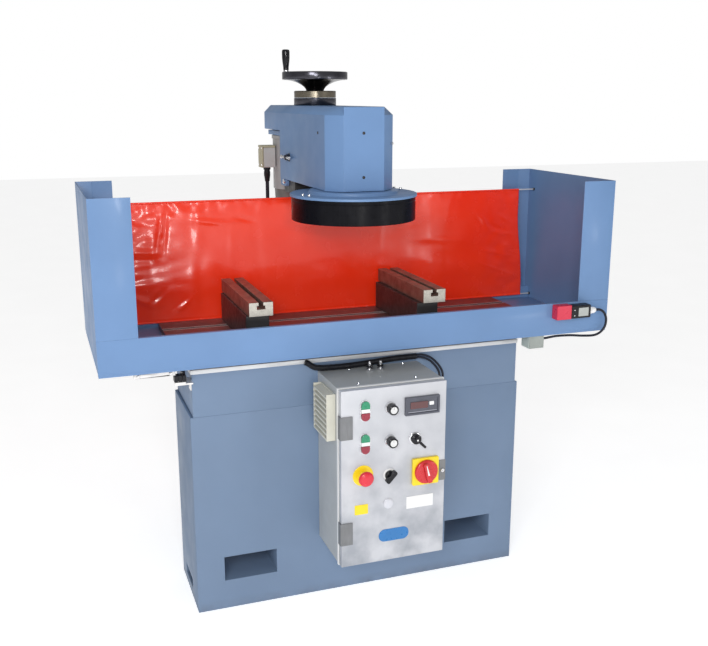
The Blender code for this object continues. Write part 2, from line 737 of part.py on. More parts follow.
def make_cabinet_leads():
    conduit_route = [
        (-0.1760, -0.1435, 0.7110),
        (-0.1690, -0.1440, 0.7080),
        (-0.1580, -0.1445, 0.7000),
        (-0.1420, -0.1450, 0.6930),
        (-0.1050, -0.1450, 0.6905),
        (-0.0460, -0.1450, 0.6900),
        (0.0140, -0.1450, 0.6930),
        (0.0740, -0.1450, 0.6970),
        (0.1200, -0.1450, 0.6980),
        (0.1550, -0.1450, 0.6980),
    ]
    tube("conduit", conduit_route, 0.0085, black(), 0.022)
    leads = [
        [
            (0.1553, -0.1450, 0.7017),
            (0.1720, -0.1455, 0.7010),
            (0.1900, -0.1470, 0.6955),
            (0.2070, -0.1495, 0.6845),
            (0.2230, -0.1550, 0.6665),
            (0.2310, -0.1620, 0.6480),
            (0.2280, -0.1700, 0.6310),
            (0.2150, -0.1765, 0.6215),
            (0.1980, -0.1795, 0.6185),
            (0.1800, -0.1800, 0.6180),
            (0.1700, -0.1800, 0.6180),
        ],
        [
            (0.1553, -0.1450, 0.6945),
            (0.1700, -0.1455, 0.6935),
            (0.1860, -0.1470, 0.6885),
            (0.2010, -0.1500, 0.6785),
            (0.2150, -0.1560, 0.6620),
            (0.2210, -0.1630, 0.6450),
            (0.2170, -0.1710, 0.6270),
            (0.2050, -0.1770, 0.6145),
            (0.1920, -0.1795, 0.6085),
            (0.1800, -0.1800, 0.6070),
            (0.1700, -0.1800, 0.6070),
        ],
    ]
    gland = block("cabinet_cables", (CAB_X[1] + GAP, 0.1725), (-0.191, -0.169), (0.599, 0.626), black())
    for i, route in enumerate(leads):
        join(gland, tube(f"lead_{i}", route, 0.0032, None, 0.009))


def make_door():
    door = block("cabinet_door", CAB_X, (DOOR_FRONT, DOOR_BACK), CAB_Z, door_grey())
    skin = 0.0018
    cut(door, block("pan", inner(CAB_X, skin), (DOOR_FRONT + skin, DOOR_BACK + 0.01), inner(CAB_Z, skin)))
    pieces = [door]
    grey = material("hinge_grey", (0.33, 0.33, 0.34), 0.5)
    for name, z in (("hinge_upper", (0.546, 0.610)), ("hinge_lower", (0.244, 0.308))):
        leaf = block(name, (-0.1400, -0.1050), (FACE - 0.003, FACE), z, grey)
        join(leaf, block("wrap", (-0.1400, CAB_X[0] - GAP), (FACE - 0.003, DOOR_BACK), z))
        pieces.append(leaf)
    meter_x, meter_z = about(0.091, 0.0495), about(0.6205, 0.025)
    pieces.append(block("panel_meter", meter_x, (FACE - 0.010, FACE), meter_z, black(), 0.0015))
    yellow = material("signal_yellow", (0.85, 0.65, 0.02), 0.4)
    plate_x, plate_z = about(0.1035, 0.0385), about(0.4305, 0.0395)
    pieces.append(block("main_switch_plate", plate_x, (FACE - 0.009, FACE), plate_z, yellow, 0.0015))
    for level, z in (("upper", 0.621), ("lower", 0.529)):
        pieces += make_start_stop(level, (-0.070, z))
        pieces.append(make_speed_knob(level, (0.0005, z + 0.002)))
    pieces += [make_mode_lever(), make_selector_knob(), make_stop_button()]
    pieces += [make_main_switch(), make_door_lock()]
    carry("cabinet_door", (*HINGE, CAB_Z[0]), *pieces)


def stadium(middle, half_width, half_height, count=10):
    """An upright oval outline with half-round ends, in x and z."""
    x, z = middle
    straight = half_height - half_width
    turns = [math.pi * i / count for i in range(count + 1)]
    top = [(x + half_width * math.cos(a), z + straight + half_width * math.sin(a)) for a in turns]
    return top + [(x - half_width * math.cos(a), z - straight - half_width * math.sin(a)) for a in turns]


def make_start_stop(level, middle):
    x, z = middle
    outline = stadium(middle, 0.015, 0.030)
    housing = plate(f"start_stop_{level}", [outline], (FACE - 0.0065, FACE), "XZ", black())
    green = material("signal_green", (0.02, 0.33, 0.15), 0.35)
    made = [housing]
    for colour, side, look in (("green", 1, green), ("red", -1, red())):
        spot = z + side * 0.0155
        cut(housing, block("well", about(x, 0.0105), (FACE - 0.02, FACE + 0.01), about(spot, 0.0085)))
        cap = (about(x, 0.0101), (FACE - 0.0095, FACE - 0.0033), about(spot, 0.0081))
        button = block(f"{colour}_button_{level}", *cap, look, bevel=0.0010)
        made.append(carry(button.name, (x, FACE, spot), button))
    return made


def make_speed_knob(level, middle):
    x, z = middle
    cap = [(0, 0.029), (0.0105, 0.029), (0.0115, 0.027), (0.0125, 0.012)]
    profile = cap + [(0.014, 0.008), (0.014, 0), (0, 0)]
    place = (x, FACE, z)
    knob = turned(f"speed_knob_{level}", profile, place, black(), steps=28, closed=False, to_front=True)
    return carry(knob.name, place, knob)


def handled_knob(name, place, hub, handle, handle_x, tilt):
    """A round hub of radius and height, joined to a bar that lies across its front. The bar runs
    between the handle_x limits from the hub's axis, and tilt turns it clockwise from +X."""
    x, y, z = place
    radius, height = hub
    width, thickness = handle
    knob = rod(name, (x, y - height / 2, z), radius, height, "Y", black(), 28)
    bar = block("bar", handle_x, about(0, thickness / 2), about(0, width / 2))
    bar.data.transform(Matrix.Translation(bar.location))
    bar.data.transform(Matrix.Rotation(math.radians(tilt), 4, "Y"))
    bar.location = (x, y - height + 0.001 - thickness / 2, z)
    return join(knob, bar)


def make_mode_lever():
    place = (0.0735, FACE, 0.527)
    hub, handle = (0.0140, 0.014), (0.0072, 0.007)
    return carry("mode_lever", place, handled_knob("mode_lever", place, hub, handle, (-0.008, 0.034), 45))


def make_selector_knob():
    place = (0.0, FACE, 0.432)
    hub, handle = (0.0140, 0.010), (0.0115, 0.014)
    knob = handled_knob("selector_knob", place, hub, handle, about(0, 0.0200), -47)
    return carry("selector_knob", place, knob)


def make_stop_button():
    profile = [
        (0, 0.0340),
        (0.0140, 0.0335),
        (0.0195, 0.0305),
        (0.0210, 0.0265),
        (0.0200, 0.0215),
        (0.0110, 0.0190),
        (0.0110, 0.0052),
        (0, 0.0052),
    ]
    place = (-0.0755, FACE, 0.4395)
    stop = turned("estop_button", profile, place, red(), steps=32, closed=False, to_front=True)
    return carry("estop_button", place, stop)


def make_main_switch():
    place = (0.1035, FACE - 0.009 - GAP, 0.4305)
    knob = handled_knob("main_switch_knob", place, (0.0335, 0.009), (0.056, 0.012), (-0.0075, 0.0075), -14)
    knob.data.materials.clear()
    knob.data.materials.append(red())
    return carry("main_switch_knob", place, knob)


def make_door_lock():
    place = (0.1555, FACE, 0.424)
    lock = rod("door_lock", (0.1555, FACE - 0.0030, 0.424), 0.0055, 0.006, "Y", steel(), 20)
    return carry("door_lock", place, lock)


def main():
    start_scene()
    make_base()
    make_bed()
    make_pedestal()
    make_table_drive()
    make_limit_switch()
    make_cabinet()
    make_cabinet_leads()
    make_door()
    on_table = [make_table(), make_tray(), make_trip_rail()]
    on_table += [make_end_guard("end_guard_left", -1), make_end_guard("end_guard_right", 1)]
    on_table += make_curtain() + make_interlock()
    on_table.append(make_work_support("work_support_left", (-0.331, -0.265), (-0.337, -0.273)))
    on_table.append(make_work_support("work_support_right", (0.172, 0.240), (0.158, 0.222)))
    carry("table", (TRAY_X, 0, TABLE_BOTTOM), *on_table)
    on_head = [make_head_cover(), make_head_casting(), *make_wheel_guard(), make_drive_belt()]
    on_head += [make_spindle(), *make_motor(), make_clamp_lever(), *make_handwheel()]
    carry("head", (0, COLUMN_Y, HEAD_LOW), *on_head)


main()
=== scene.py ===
"""Looks for the surface grinder: enamel, ground steel, vinyl, plastics and the small fittings, built
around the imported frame. Metres, +Z up, the operator at -Y."""

import json
import math
import random

import bmesh
import bpy
import numpy as np
from mathutils import Matrix, Vector, noise


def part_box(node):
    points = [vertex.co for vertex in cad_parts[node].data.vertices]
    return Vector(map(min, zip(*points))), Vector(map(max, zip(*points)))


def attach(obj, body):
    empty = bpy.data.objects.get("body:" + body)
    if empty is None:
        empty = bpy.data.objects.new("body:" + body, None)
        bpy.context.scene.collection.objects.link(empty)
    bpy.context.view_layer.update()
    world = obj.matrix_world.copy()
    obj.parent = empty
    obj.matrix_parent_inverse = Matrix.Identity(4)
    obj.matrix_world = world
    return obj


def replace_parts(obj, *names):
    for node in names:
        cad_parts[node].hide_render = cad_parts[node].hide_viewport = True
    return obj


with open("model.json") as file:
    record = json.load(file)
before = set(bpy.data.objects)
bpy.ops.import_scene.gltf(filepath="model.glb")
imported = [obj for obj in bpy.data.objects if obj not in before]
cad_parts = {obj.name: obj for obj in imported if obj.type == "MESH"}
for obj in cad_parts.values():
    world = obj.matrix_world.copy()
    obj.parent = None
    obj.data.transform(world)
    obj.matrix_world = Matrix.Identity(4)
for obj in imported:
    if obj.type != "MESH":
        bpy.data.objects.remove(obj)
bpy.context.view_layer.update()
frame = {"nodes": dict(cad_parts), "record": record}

BODY = {node: body for body, nodes in frame["record"]["behaviour"]["bodies"].items() for node in nodes}
GAP = 0.0003
MAIN_SWITCH_TILT = -14
SKY_LIGHT = 0.42
FLOOR_GLOW = 0.52


# Camera, lights and floor

def make_camera():
    data = bpy.data.cameras.new("camera")
    data.sensor_width = 36
    data.lens = 46.35
    data.clip_end = 50
    camera = bpy.data.objects.new("camera", data)
    camera.location = (-0.8554, -2.4558, 1.4176)
    camera.rotation_euler = (math.radians(76.114), 0, math.radians(-19.57))
    bpy.context.scene.collection.objects.link(camera)
    bpy.context.scene.camera = camera


def area_light(name, place, target, size, power):
    data = bpy.data.lights.new(name, "AREA")
    data.shape = "RECTANGLE"
    data.size, data.size_y = size
    data.energy = power
    light = bpy.data.objects.new(name, data)
    light.location = place
    light.rotation_euler = (Vector(target) - Vector(place)).to_track_quat("-Z", "Y").to_euler()
    bpy.context.scene.collection.objects.link(light)


def make_stage():
    scene = bpy.context.scene
    scene.view_settings.view_transform = "Standard"
    world = bpy.data.worlds.new("studio")
    world.use_nodes = True
    tree = world.node_tree
    background = tree.nodes["Background"]
    background.inputs["Color"].default_value = (1.0, 1.0, 1.0, 1)
    seen = tree.nodes.new("ShaderNodeLightPath")
    strength = tree.nodes.new("ShaderNodeMapRange")
    strength.inputs["To Min"].default_value = SKY_LIGHT
    strength.inputs["To Max"].default_value = 1.0
    tree.links.new(seen.outputs["Is Camera Ray"], strength.inputs["Value"])
    tree.links.new(strength.outputs["Result"], background.inputs["Strength"])
    scene.world = world
    area_light("key", (-1.7, -3.1, 2.2), (0, 0, 0.75), (1.1, 0.8), 44)
    area_light("flash", (-0.75, -2.9, 1.65), (0.1, 0, 0.85), (0.22, 0.16), 13)
    area_light("low_left", (-0.2, -3.0, 0.62), (-0.4, 0.2, 1.0), (0.3, 0.34), 7)
    area_light("low_right", (2.35, -3.0, 0.58), (0.5, 0.2, 1.0), (0.3, 0.26), 7)
    bpy.ops.mesh.primitive_plane_add(size=30)
    floor = bpy.context.object
    floor.name = "floor"
    look = surface("floor", (0.93, 0.93, 0.93), 0.8, mottle=(3.0, 0.02), specular=0.2)
    shader = look.node_tree.nodes["Principled BSDF"]
    shader.inputs["Emission Color"].default_value = (1, 1, 1, 1)
    shader.inputs["Emission Strength"].default_value = FLOOR_GLOW
    floor.data.materials.append(look)


# Materials

class Graph:
    """A material's node tree, with short ways to add and join nodes."""

    def __init__(self, name):
        self.material = bpy.data.materials.new(name)
        self.material.use_nodes = True
        self.tree = self.material.node_tree
        self.shader = self.tree.nodes["Principled BSDF"]

    def add(self, kind, **values):
        node = self.tree.nodes.new(kind)
        for key, value in values.items():
            if key in node.inputs:
                node.inputs[key].default_value = value
            else:
                setattr(node, key, value)
        return node

    def join(self, source, target):
        self.tree.links.new(source, target)
        return source

    def place(self, stretch=(1, 1, 1)):
        """Positions on the piece in metres, scaled by stretch."""
        coordinates = self.add("ShaderNodeTexCoord")
        mapping = self.add("ShaderNodeMapping")
        mapping.inputs["Scale"].default_value = stretch
        self.join(coordinates.outputs["Object"], mapping.inputs["Vector"])
        return mapping.outputs["Vector"]

    def noise(self, scale, detail=3.0, stretch=(1, 1, 1), roughness=0.5):
        texture = self.add("ShaderNodeTexNoise", Scale=scale, Detail=detail, Roughness=roughness)
        self.join(self.place(stretch), texture.inputs["Vector"])
        return texture.outputs["Fac"]

    def ramp(self, value, low, high, start=0.0, end=1.0):
        """value mapped from start..end to low..high, and held there."""
        node = self.add("ShaderNodeMapRange", clamp=True)
        for key, number in (("From Min", start), ("From Max", end), ("To Min", low), ("To Max", high)):
            node.inputs[key].default_value = number
        self.join(value, node.inputs["Value"])
        return node.outputs["Result"]

    def maths(self, operation, a, b=None):
        node = self.add("ShaderNodeMath", operation=operation)
        for i, value in enumerate((a, b)):
            if isinstance(value, (int, float)):
                node.inputs[i].default_value = value
            elif value is not None:
                self.join(value, node.inputs[i])
        return node.outputs["Value"]

    def mix(self, factor, a, b):
        """Mixes two colours, each a tuple or a socket."""
        node = self.add("ShaderNodeMix", data_type="RGBA")
        if isinstance(factor, (int, float)):
            node.inputs["Factor"].default_value = factor
        else:
            self.join(factor, node.inputs["Factor"])
        for key, value in (("A", a), ("B", b)):
            socket = [s for s in node.inputs if s.name == key and s.type == "RGBA"][0]
            if isinstance(value, tuple):
                socket.default_value = (*value, 1)
            else:
                self.join(value, socket)
        return [s for s in node.outputs if s.type == "RGBA"][0]

    def bump(self, height, strength, distance):
        node = self.add("ShaderNodeBump", Strength=strength, Distance=distance)
        self.join(height, node.inputs["Height"])
        if self.shader.inputs["Normal"].is_linked:
            self.join(self.shader.inputs["Normal"].links[0].from_socket, node.inputs["Normal"])
        self.join(node.outputs["Normal"], self.shader.inputs["Normal"])

    def edges(self, radius):
        """1 on sharp edges, 0 on flat faces."""
        bevel = self.add("ShaderNodeBevel", samples=4)
        bevel.inputs["Radius"].default_value = radius
        geometry = self.add("ShaderNodeNewGeometry")
        dot = self.add("ShaderNodeVectorMath", operation="DOT_PRODUCT")
        self.join(bevel.outputs["Normal"], dot.inputs[0])
        self.join(geometry.outputs["Normal"], dot.inputs[1])
        return self.ramp(dot.outputs["Value"], 1.0, 0.0, 0.8, 0.995)

    def height_above(self, level, blend):
        """0 below the level in z, 1 above level + blend."""
        split = self.add("ShaderNodeSeparateXYZ")
        self.join(self.place(), split.inputs["Vector"])
        return self.ramp(split.outputs["Z"], 0.0, 1.0, level, level + blend)


LOOKS = {}


def shade(colour, amount):
    return tuple(min(1.0, c * amount) for c in colour)


def surface(
    name,
    colour,
    roughness,
    metallic=0.0,
    coat=0.0,
    mottle=(6.0, 0.08),
    grain=None,
    brushed=None,
    wear=None,
    dirt_and_painted_shade=None,
    specular=0.5,
):
    """A finish with its own variation. mottle is (scale, amount) of broad colour change. grain is (scale,
    strength, depth) of fine bump. brushed is (stretch, strength) of fine scratches. wear is (radius, colour,
    amount) along edges. dirt_and_painted_shade is (level, blend, colour) of patchy darkening low on the
    piece, which on the door is painted shade."""
    if name in LOOKS:
        return LOOKS[name]
    g = Graph(name)
    shader = g.shader
    broad = g.noise(mottle[0], 4.0)
    base = g.mix(g.ramp(broad, 0, 1, 0.3, 0.7), shade(colour, 1 - mottle[1]), shade(colour, 1 + mottle[1]))
    rough = g.ramp(g.noise(mottle[0] * 3.1, 5.0), roughness * 0.82, roughness * 1.22, 0.3, 0.7)
    if brushed:
        stretch, strength = brushed
        lines = g.noise(1.0, 6.0, stretch, 0.65)
        base = g.mix(g.ramp(lines, 0, 1, 0.35, 0.65), g.mix(0.16, base, (0.0, 0.0, 0.0)), base)
        rough = g.maths("MULTIPLY", rough, g.ramp(lines, 0.85, 1.2, 0.3, 0.7))
        g.bump(lines, strength, 0.0002)
    if grain:
        scale, strength, depth = grain
        g.bump(g.noise(scale, 3.0), strength, depth)
    if dirt_and_painted_shade:
        level, blend, low_colour = dirt_and_painted_shade
        low = g.maths("SUBTRACT", 1.0, g.height_above(level, blend))
        patchy = g.maths("MULTIPLY", low, g.ramp(g.noise(14.0, 6.0), 0.1, 1.0, 0.35, 0.65))
        base = g.mix(patchy, base, low_colour)
    if wear:
        radius, bare, amount = wear
        chips = g.ramp(g.noise(90.0, 5.0), 0, 1, 0.45, 0.62)
        worn = g.maths("MULTIPLY", g.maths("MULTIPLY", g.edges(radius), chips), amount)
        base = g.mix(worn, base, bare)
        rough = g.maths("ADD", rough, g.maths("MULTIPLY", worn, 0.15))
    g.join(base, shader.inputs["Base Color"])
    g.join(rough, shader.inputs["Roughness"])
    shader.inputs["Metallic"].default_value = metallic
    shader.inputs["Specular IOR Level"].default_value = specular
    shader.inputs["Coat Weight"].default_value = coat
    shader.inputs["Coat Roughness"].default_value = 0.12
    LOOKS[name] = g.material
    return g.material


def machine_blue():
    wear = (0.0016, (0.36, 0.47, 0.64), 0.4)
    return surface("machine_blue", (0.15, 0.262, 0.47), 0.42, coat=0.04, mottle=(5.0, 0.05),
                   grain=(420.0, 0.08, 0.0004), wear=wear, specular=0.25)


def base_blue():
    # The base's colour is darker and patchy along its lowest 3 cm.
    dirt_and_painted_shade = (0.0, 0.03, (0.13, 0.17, 0.24))
    return surface("base_blue", (0.158, 0.225, 0.336), 0.5, mottle=(4.0, 0.05),
                   grain=(330.0, 0.16, 0.0005),
                   wear=(0.0016, (0.3, 0.38, 0.5), 0.35), dirt_and_painted_shade=dirt_and_painted_shade, specular=0.35)


def ground_steel():
    return surface("ground_steel", (0.56, 0.56, 0.55), 0.26, metallic=1.0, mottle=(7.0, 0.1),
                   brushed=((9.0, 420.0, 420.0), 0.12))


def bed_strip():
    return surface("bed_strip", (0.74, 0.75, 0.76), 0.38, metallic=0.2, mottle=(9.0, 0.1),
                   brushed=((12.0, 500.0, 500.0), 0.1))


def table_steel():
    return surface("table_steel", (0.22, 0.19, 0.19), 0.4, metallic=0.75, mottle=(9.0, 0.15),
                   brushed=((7.0, 260.0, 260.0), 0.04))


def bright_steel():
    return surface("bright_steel", (0.72, 0.72, 0.74), 0.16, metallic=1.0, mottle=(30.0, 0.05),
                   grain=(900.0, 0.03, 0.0002))


def bright_edge():
    return surface("bright_edge", (0.8, 0.78, 0.76), 0.35, metallic=0.3, mottle=(30.0, 0.08))


def riser_black():
    return surface("riser_black", (0.035, 0.033, 0.033), 0.42, metallic=0.2, mottle=(22.0, 0.3),
                   grain=(380.0, 0.3, 0.0006), wear=(0.0012, (0.22, 0.2, 0.18), 0.5))


def bar_steel():
    """Ground tool steel that has browned on its upper faces."""
    if "bar_steel" in LOOKS:
        return LOOKS["bar_steel"]
    g = Graph("bar_steel")
    lines = g.noise(1.0, 6.0, (500.0, 10.0, 500.0), 0.6)
    steel = g.mix(g.ramp(lines, 0, 1, 0.3, 0.7), (0.4, 0.38, 0.34), (0.6, 0.57, 0.5))
    stain = g.mix(g.ramp(g.noise(28.0, 6.0), 0, 1, 0.35, 0.6), (0.15, 0.085, 0.065), (0.26, 0.17, 0.13))
    geometry = g.add("ShaderNodeNewGeometry")
    split = g.add("ShaderNodeSeparateXYZ")
    g.join(geometry.outputs["Normal"], split.inputs["Vector"])
    facing_up = g.ramp(split.outputs["Z"], 0.0, 0.85, 0.3, 0.8)
    side = g.ramp(g.maths("ABSOLUTE", split.outputs["X"]), 0.0, 0.9, 0.5, 0.9)
    aged = g.maths("MAXIMUM", facing_up, side)
    g.join(g.mix(aged, steel, stain), g.shader.inputs["Base Color"])
    g.join(g.ramp(g.noise(60.0, 5.0), 0.3, 0.52, 0.3, 0.7), g.shader.inputs["Roughness"])
    g.join(g.ramp(aged, 0.9, 0.45), g.shader.inputs["Metallic"])
    g.bump(lines, 0.12, 0.0002)
    LOOKS["bar_steel"] = g.material
    return g.material


def blued_steel():
    return surface("blued_steel", (0.085, 0.085, 0.1), 0.2, metallic=1.0, mottle=(25.0, 0.2),
                   brushed=((60.0, 60.0, 900.0), 0.06))


def satin_ring():
    return surface("satin_ring", (0.25, 0.22, 0.17), 0.27, metallic=1.0, mottle=(25.0, 0.1),
                   brushed=((50.0, 50.0, 1100.0), 0.1))


def black_plastic():
    return surface("black_plastic", (0.011, 0.011, 0.014), 0.4, mottle=(40.0, 0.2),
                   grain=(700.0, 0.18, 0.0003),
                   specular=0.25)


def glossy_black():
    return surface("glossy_black", (0.006, 0.006, 0.009), 0.16, mottle=(30.0, 0.2), specular=0.35)


def skirt_black():
    return surface("skirt_black", (0.006, 0.006, 0.008), 0.3, mottle=(20.0, 0.3),
                   brushed=((220.0, 220.0, 5.0), 0.06), specular=0.1)


def rubber():
    return surface("rubber", (0.016, 0.016, 0.018), 0.62, mottle=(50.0, 0.2), grain=(800.0, 0.2, 0.0003),
                   specular=0.25)


def cable_sheath():
    return surface("cable_sheath", (0.01, 0.011, 0.02), 0.36, mottle=(60.0, 0.2),
                   grain=(600.0, 0.15, 0.0002),
                   specular=0.3)


def cabinet_grey():
    return surface("cabinet_grey", (0.44, 0.455, 0.455), 0.42, coat=0.1, mottle=(8.0, 0.05),
                   grain=(520.0, 0.22, 0.0004), wear=(0.001, (0.72, 0.72, 0.7), 0.3))


def cabinet_rim():
    return surface("cabinet_rim", (0.84, 0.84, 0.83), 0.35, coat=0.1, mottle=(12.0, 0.03),
                   grain=(520.0, 0.12, 0.0003))


def door_grey():
    """The door's lacquered sheet, with painted shade that makes it greyer low down."""
    # Painted shade: the door's colour darkens towards its foot, where less light falls.
    dirt_and_painted_shade = (0.16, 0.6, (0.3, 0.32, 0.36))
    return surface("door_grey", (0.58, 0.59, 0.625), 0.36, metallic=0.1, coat=0.1, mottle=(3.0, 0.04),
                   grain=(600.0, 0.1, 0.0003), dirt_and_painted_shade=dirt_and_painted_shade)


def hinge_grey():
    return surface("hinge_grey", (0.2, 0.205, 0.215), 0.5, mottle=(30.0, 0.08),
                   brushed=((300.0, 300.0, 20.0), 0.1))


def vent_beige():
    return surface("vent_beige", (0.6, 0.59, 0.51), 0.5, mottle=(14.0, 0.06), grain=(600.0, 0.18, 0.0003))


def motor_grey():
    return surface("motor_grey", (0.42, 0.42, 0.42), 0.42, metallic=0.3, mottle=(12.0, 0.1),
                   grain=(400.0, 0.22, 0.0005))


def box_beige():
    return surface("box_beige", (0.42, 0.39, 0.26), 0.45, mottle=(14.0, 0.08), grain=(500.0, 0.2, 0.0004))


def plastic(name, colour, roughness=0.28, coat=0.2):
    return surface(name, colour, roughness, coat=coat, mottle=(30.0, 0.04), grain=(900.0, 0.02, 0.0001))


def red_plastic():
    return plastic("red_plastic", (0.58, 0.018, 0.025))


def yellow_plastic():
    return plastic("yellow_plastic", (0.88, 0.66, 0.01), 0.38)


def green_plastic():
    return plastic("green_plastic", (0.02, 0.26, 0.13), 0.3)


def dark_red_plastic():
    return plastic("dark_red_plastic", (0.28, 0.022, 0.045), 0.3)


def white_plastic():
    return plastic("white_plastic", (0.8, 0.8, 0.8), 0.35)


def display_glass():
    return plastic("display_glass", (0.085, 0.012, 0.014), 0.08, coat=1.0)


def abrasive():
    return surface("abrasive", (0.36, 0.34, 0.31), 0.9, mottle=(120.0, 0.25), grain=(1500.0, 0.8, 0.0008))


def vinyl():
    """Glossy red-orange vinyl with fine creases, and a faint painted glow that brightens it."""
    if "vinyl" in LOOKS:
        return LOOKS["vinyl"]
    g = Graph("vinyl")
    shade_noise = g.ramp(g.noise(3.0, 4.0), 0, 1, 0.3, 0.7)
    base = g.mix(shade_noise, (0.86, 0.026, 0.006), (0.93, 0.045, 0.012))
    g.join(base, g.shader.inputs["Base Color"])
    g.join(g.ramp(g.noise(18.0, 5.0), 0.16, 0.3, 0.3, 0.7), g.shader.inputs["Roughness"])
    g.bump(g.noise(1.0, 5.0, (9.0, 9.0, 55.0), 0.6), 0.25, 0.0012)
    g.bump(g.noise(700.0, 2.0), 0.04, 0.0002)
    g.shader.inputs["Coat Weight"].default_value = 0.3
    g.shader.inputs["Coat Roughness"].default_value = 0.08
    # Painted glow: the emission brightens the vinyl beyond what the lamps give it.
    g.shader.inputs["Emission Color"].default_value = (0.9, 0.04, 0.01, 1)
    g.shader.inputs["Emission Strength"].default_value = 0.12
    LOOKS["vinyl"] = g.material
    return g.material


# Tools for making pieces

def add_piece(name, mesh, look, body):
    obj = bpy.data.objects.new(name, mesh)
    bpy.context.scene.collection.objects.link(obj)
    if look is not None:
        mesh.materials.clear()
        mesh.materials.append(look)
    if body:
        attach(obj, body)
    return obj


def mesh_from(name, bm, smooth=None):
    mesh = bpy.data.meshes.new(name)
    bmesh.ops.recalc_face_normals(bm, faces=bm.faces)
    bm.to_mesh(mesh)
    bm.free()
    if smooth is not None:
        mesh.shade_smooth()
        mesh.set_sharp_from_angle(angle=math.radians(smooth))
    return mesh


def soften(obj, width, segments=2, angle=32):
    """Rounds the edges in the mesh itself."""
    edge = obj.modifiers.new("rounded", "BEVEL")
    edge.width = width
    edge.segments = segments
    edge.limit_method = "ANGLE"
    edge.angle_limit = math.radians(angle)
    edge.use_clamp_overlap = True
    edge.harden_normals = True
    obj.data.shade_smooth()
    return obj


def refined(node, look, width=0.0008, segments=2, name=None):
    """A copy of a CAD node's shape with rounded edges, standing for the node."""
    bm = bmesh.new()
    bm.from_mesh(frame["nodes"][node].data)
    bmesh.ops.remove_doubles(bm, verts=bm.verts, dist=0.00002)
    bmesh.ops.dissolve_limit(bm, angle_limit=math.radians(0.6), verts=bm.verts, edges=bm.edges)
    obj = add_piece(name or f"{node}_skin", mesh_from(node, bm), look, BODY[node])
    soften(obj, width, segments)
    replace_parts(obj, node)
    return obj


def merged(name, parts, look, body, width=0.0, segments=2, smooth=None, node=None):
    """One piece from several bmeshes, standing for the CAD node if one is named."""
    whole = bmesh.new()
    for part in parts:
        mesh = bpy.data.meshes.new("part")
        part.to_mesh(mesh)
        part.free()
        whole.from_mesh(mesh)
        bpy.data.meshes.remove(mesh)
    obj = add_piece(name, mesh_from(name, whole, smooth), look, body)
    if width:
        soften(obj, width, segments)
    if node:
        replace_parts(obj, node)
    return obj


def brick(x, y, z):
    """A block between limits, as a bmesh."""
    low, high = Vector((x[0], y[0], z[0])), Vector((x[1], y[1], z[1]))
    bm = bmesh.new()
    bmesh.ops.create_cube(bm, size=1)
    bmesh.ops.scale(bm, vec=high - low, verts=bm.verts)
    bmesh.ops.translate(bm, vec=(low + high) / 2, verts=bm.verts)
    return bm


def about(middle, half):
    """The limits of a length centred on middle."""
    return (middle - half, middle + half)


def centre(node):
    """The x and y of the middle of a CAD node's box."""
    low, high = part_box(node)
    return (low[0] + high[0]) / 2, (low[1] + high[1]) / 2


def turned(bm, degrees, axis, place):
    """The bmesh turned about an axis through the origin and moved to place."""
    bmesh.ops.rotate(bm, matrix=Matrix.Rotation(math.radians(degrees), 3, axis), verts=bm.verts)
    bmesh.ops.translate(bm, vec=place, verts=bm.verts)
    return bm


def spun(profile, place, axis=(0, 0, 1), steps=64):
    """A turned bmesh: (radius, height) points run along its outside. Ends on the axis are closed, and a
    profile whose first and last points are off the axis is joined into a ring."""
    bm = bmesh.new()
    ring = profile[0][0] > 1e-6 and profile[-1][0] > 1e-6
    turn = Vector((0, 0, 1)).rotation_difference(Vector(axis)).to_matrix()
    rows = []
    for radius, height in profile:
        if radius < 1e-6:
            rows.append([bm.verts.new(turn @ Vector((0, 0, height)) + Vector(place))])
            continue
        turns = [2 * math.pi * i / steps for i in range(steps)]
        rows.append([
            bm.verts.new(
                turn @ Vector((radius * math.cos(a), radius * math.sin(a), height)) + Vector(place))
            for a in turns
        ])
    pairs = list(zip(rows, rows[1:]))
    if ring:
        pairs.append((rows[-1], rows[0]))
    for low, high in pairs:
        for i in range(steps):
            j = (i + 1) % steps
            corners = [low[i % len(low)], low[j % len(low)], high[j % len(high)], high[i % len(high)]]
            unique = list(dict.fromkeys(corners))
            if len(unique) > 2:
                bm.faces.new(unique)
    return bm


def prism(outline, limits, plane="XZ"):
    """A flat outline given thickness between two limits along the third axis."""
    bm = bmesh.new()
    third = {"XY": 2, "XZ": 1, "YZ": 0}[plane]
    rows = []
    for end in limits:
        row = []
        for point in outline:
            place = list(point)
            place.insert(third, end)
            row.append(bm.verts.new(place))
        rows.append(row)
    bm.faces.new(rows[0])
    bm.faces.new(list(reversed(rows[1])))
    count = len(outline)
    for i in range(count):
        j = (i + 1) % count
        bm.faces.new((rows[0][j], rows[0][i], rows[1][i], rows[1][j]))
    return bm


def arc(middle, radius, start, end, count=12):
    return [
        (middle[0] + radius * math.cos(start + (end - start) * i / count),
         middle[1] + radius * math.sin(start + (end - start) * i / count))
        for i in range(count + 1)
    ]


def rounded_rectangle(middle, half, radius, count=5):
    (x, z), (a, b) = middle, half
    a, b = a - radius, b - radius
    outline = []
    for i, (sx, sz) in enumerate(((1, 1), (-1, 1), (-1, -1), (1, -1))):
        start = i * math.pi / 2
        outline += arc((x + sx * a, z + sz * b), radius, start, start + math.pi / 2, count)
    return outline


def hexagon(middle, radius, turn=0.0):
    return [(middle[0] + radius * math.cos(turn + i * math.pi / 3),
             middle[1] + radius * math.sin(turn + i * math.pi / 3)) for i in range(6)]


def cap_screw(place, axis, radius=0.004, height=0.003):
    """A socket-head screw's head with its hexagonal recess."""
    return spun(
        [(0, height * 0.45), (radius * 0.45, height * 0.45), (radius * 0.52, height),
         (radius * 0.88, height), (radius, height * 0.8), (radius, 0), (0, 0)],
        place, axis, 24)


def flat_screw(place, axis, radius=0.0035):
    """A low dark screw head, slightly domed, with a dished recess."""
    return spun(
        [(0, radius * 0.12), (radius * 0.4, radius * 0.12), (radius * 0.5, radius * 0.42),
         (radius * 0.9, radius * 0.3), (radius, 0), (0, 0)],
        place, axis, 20)


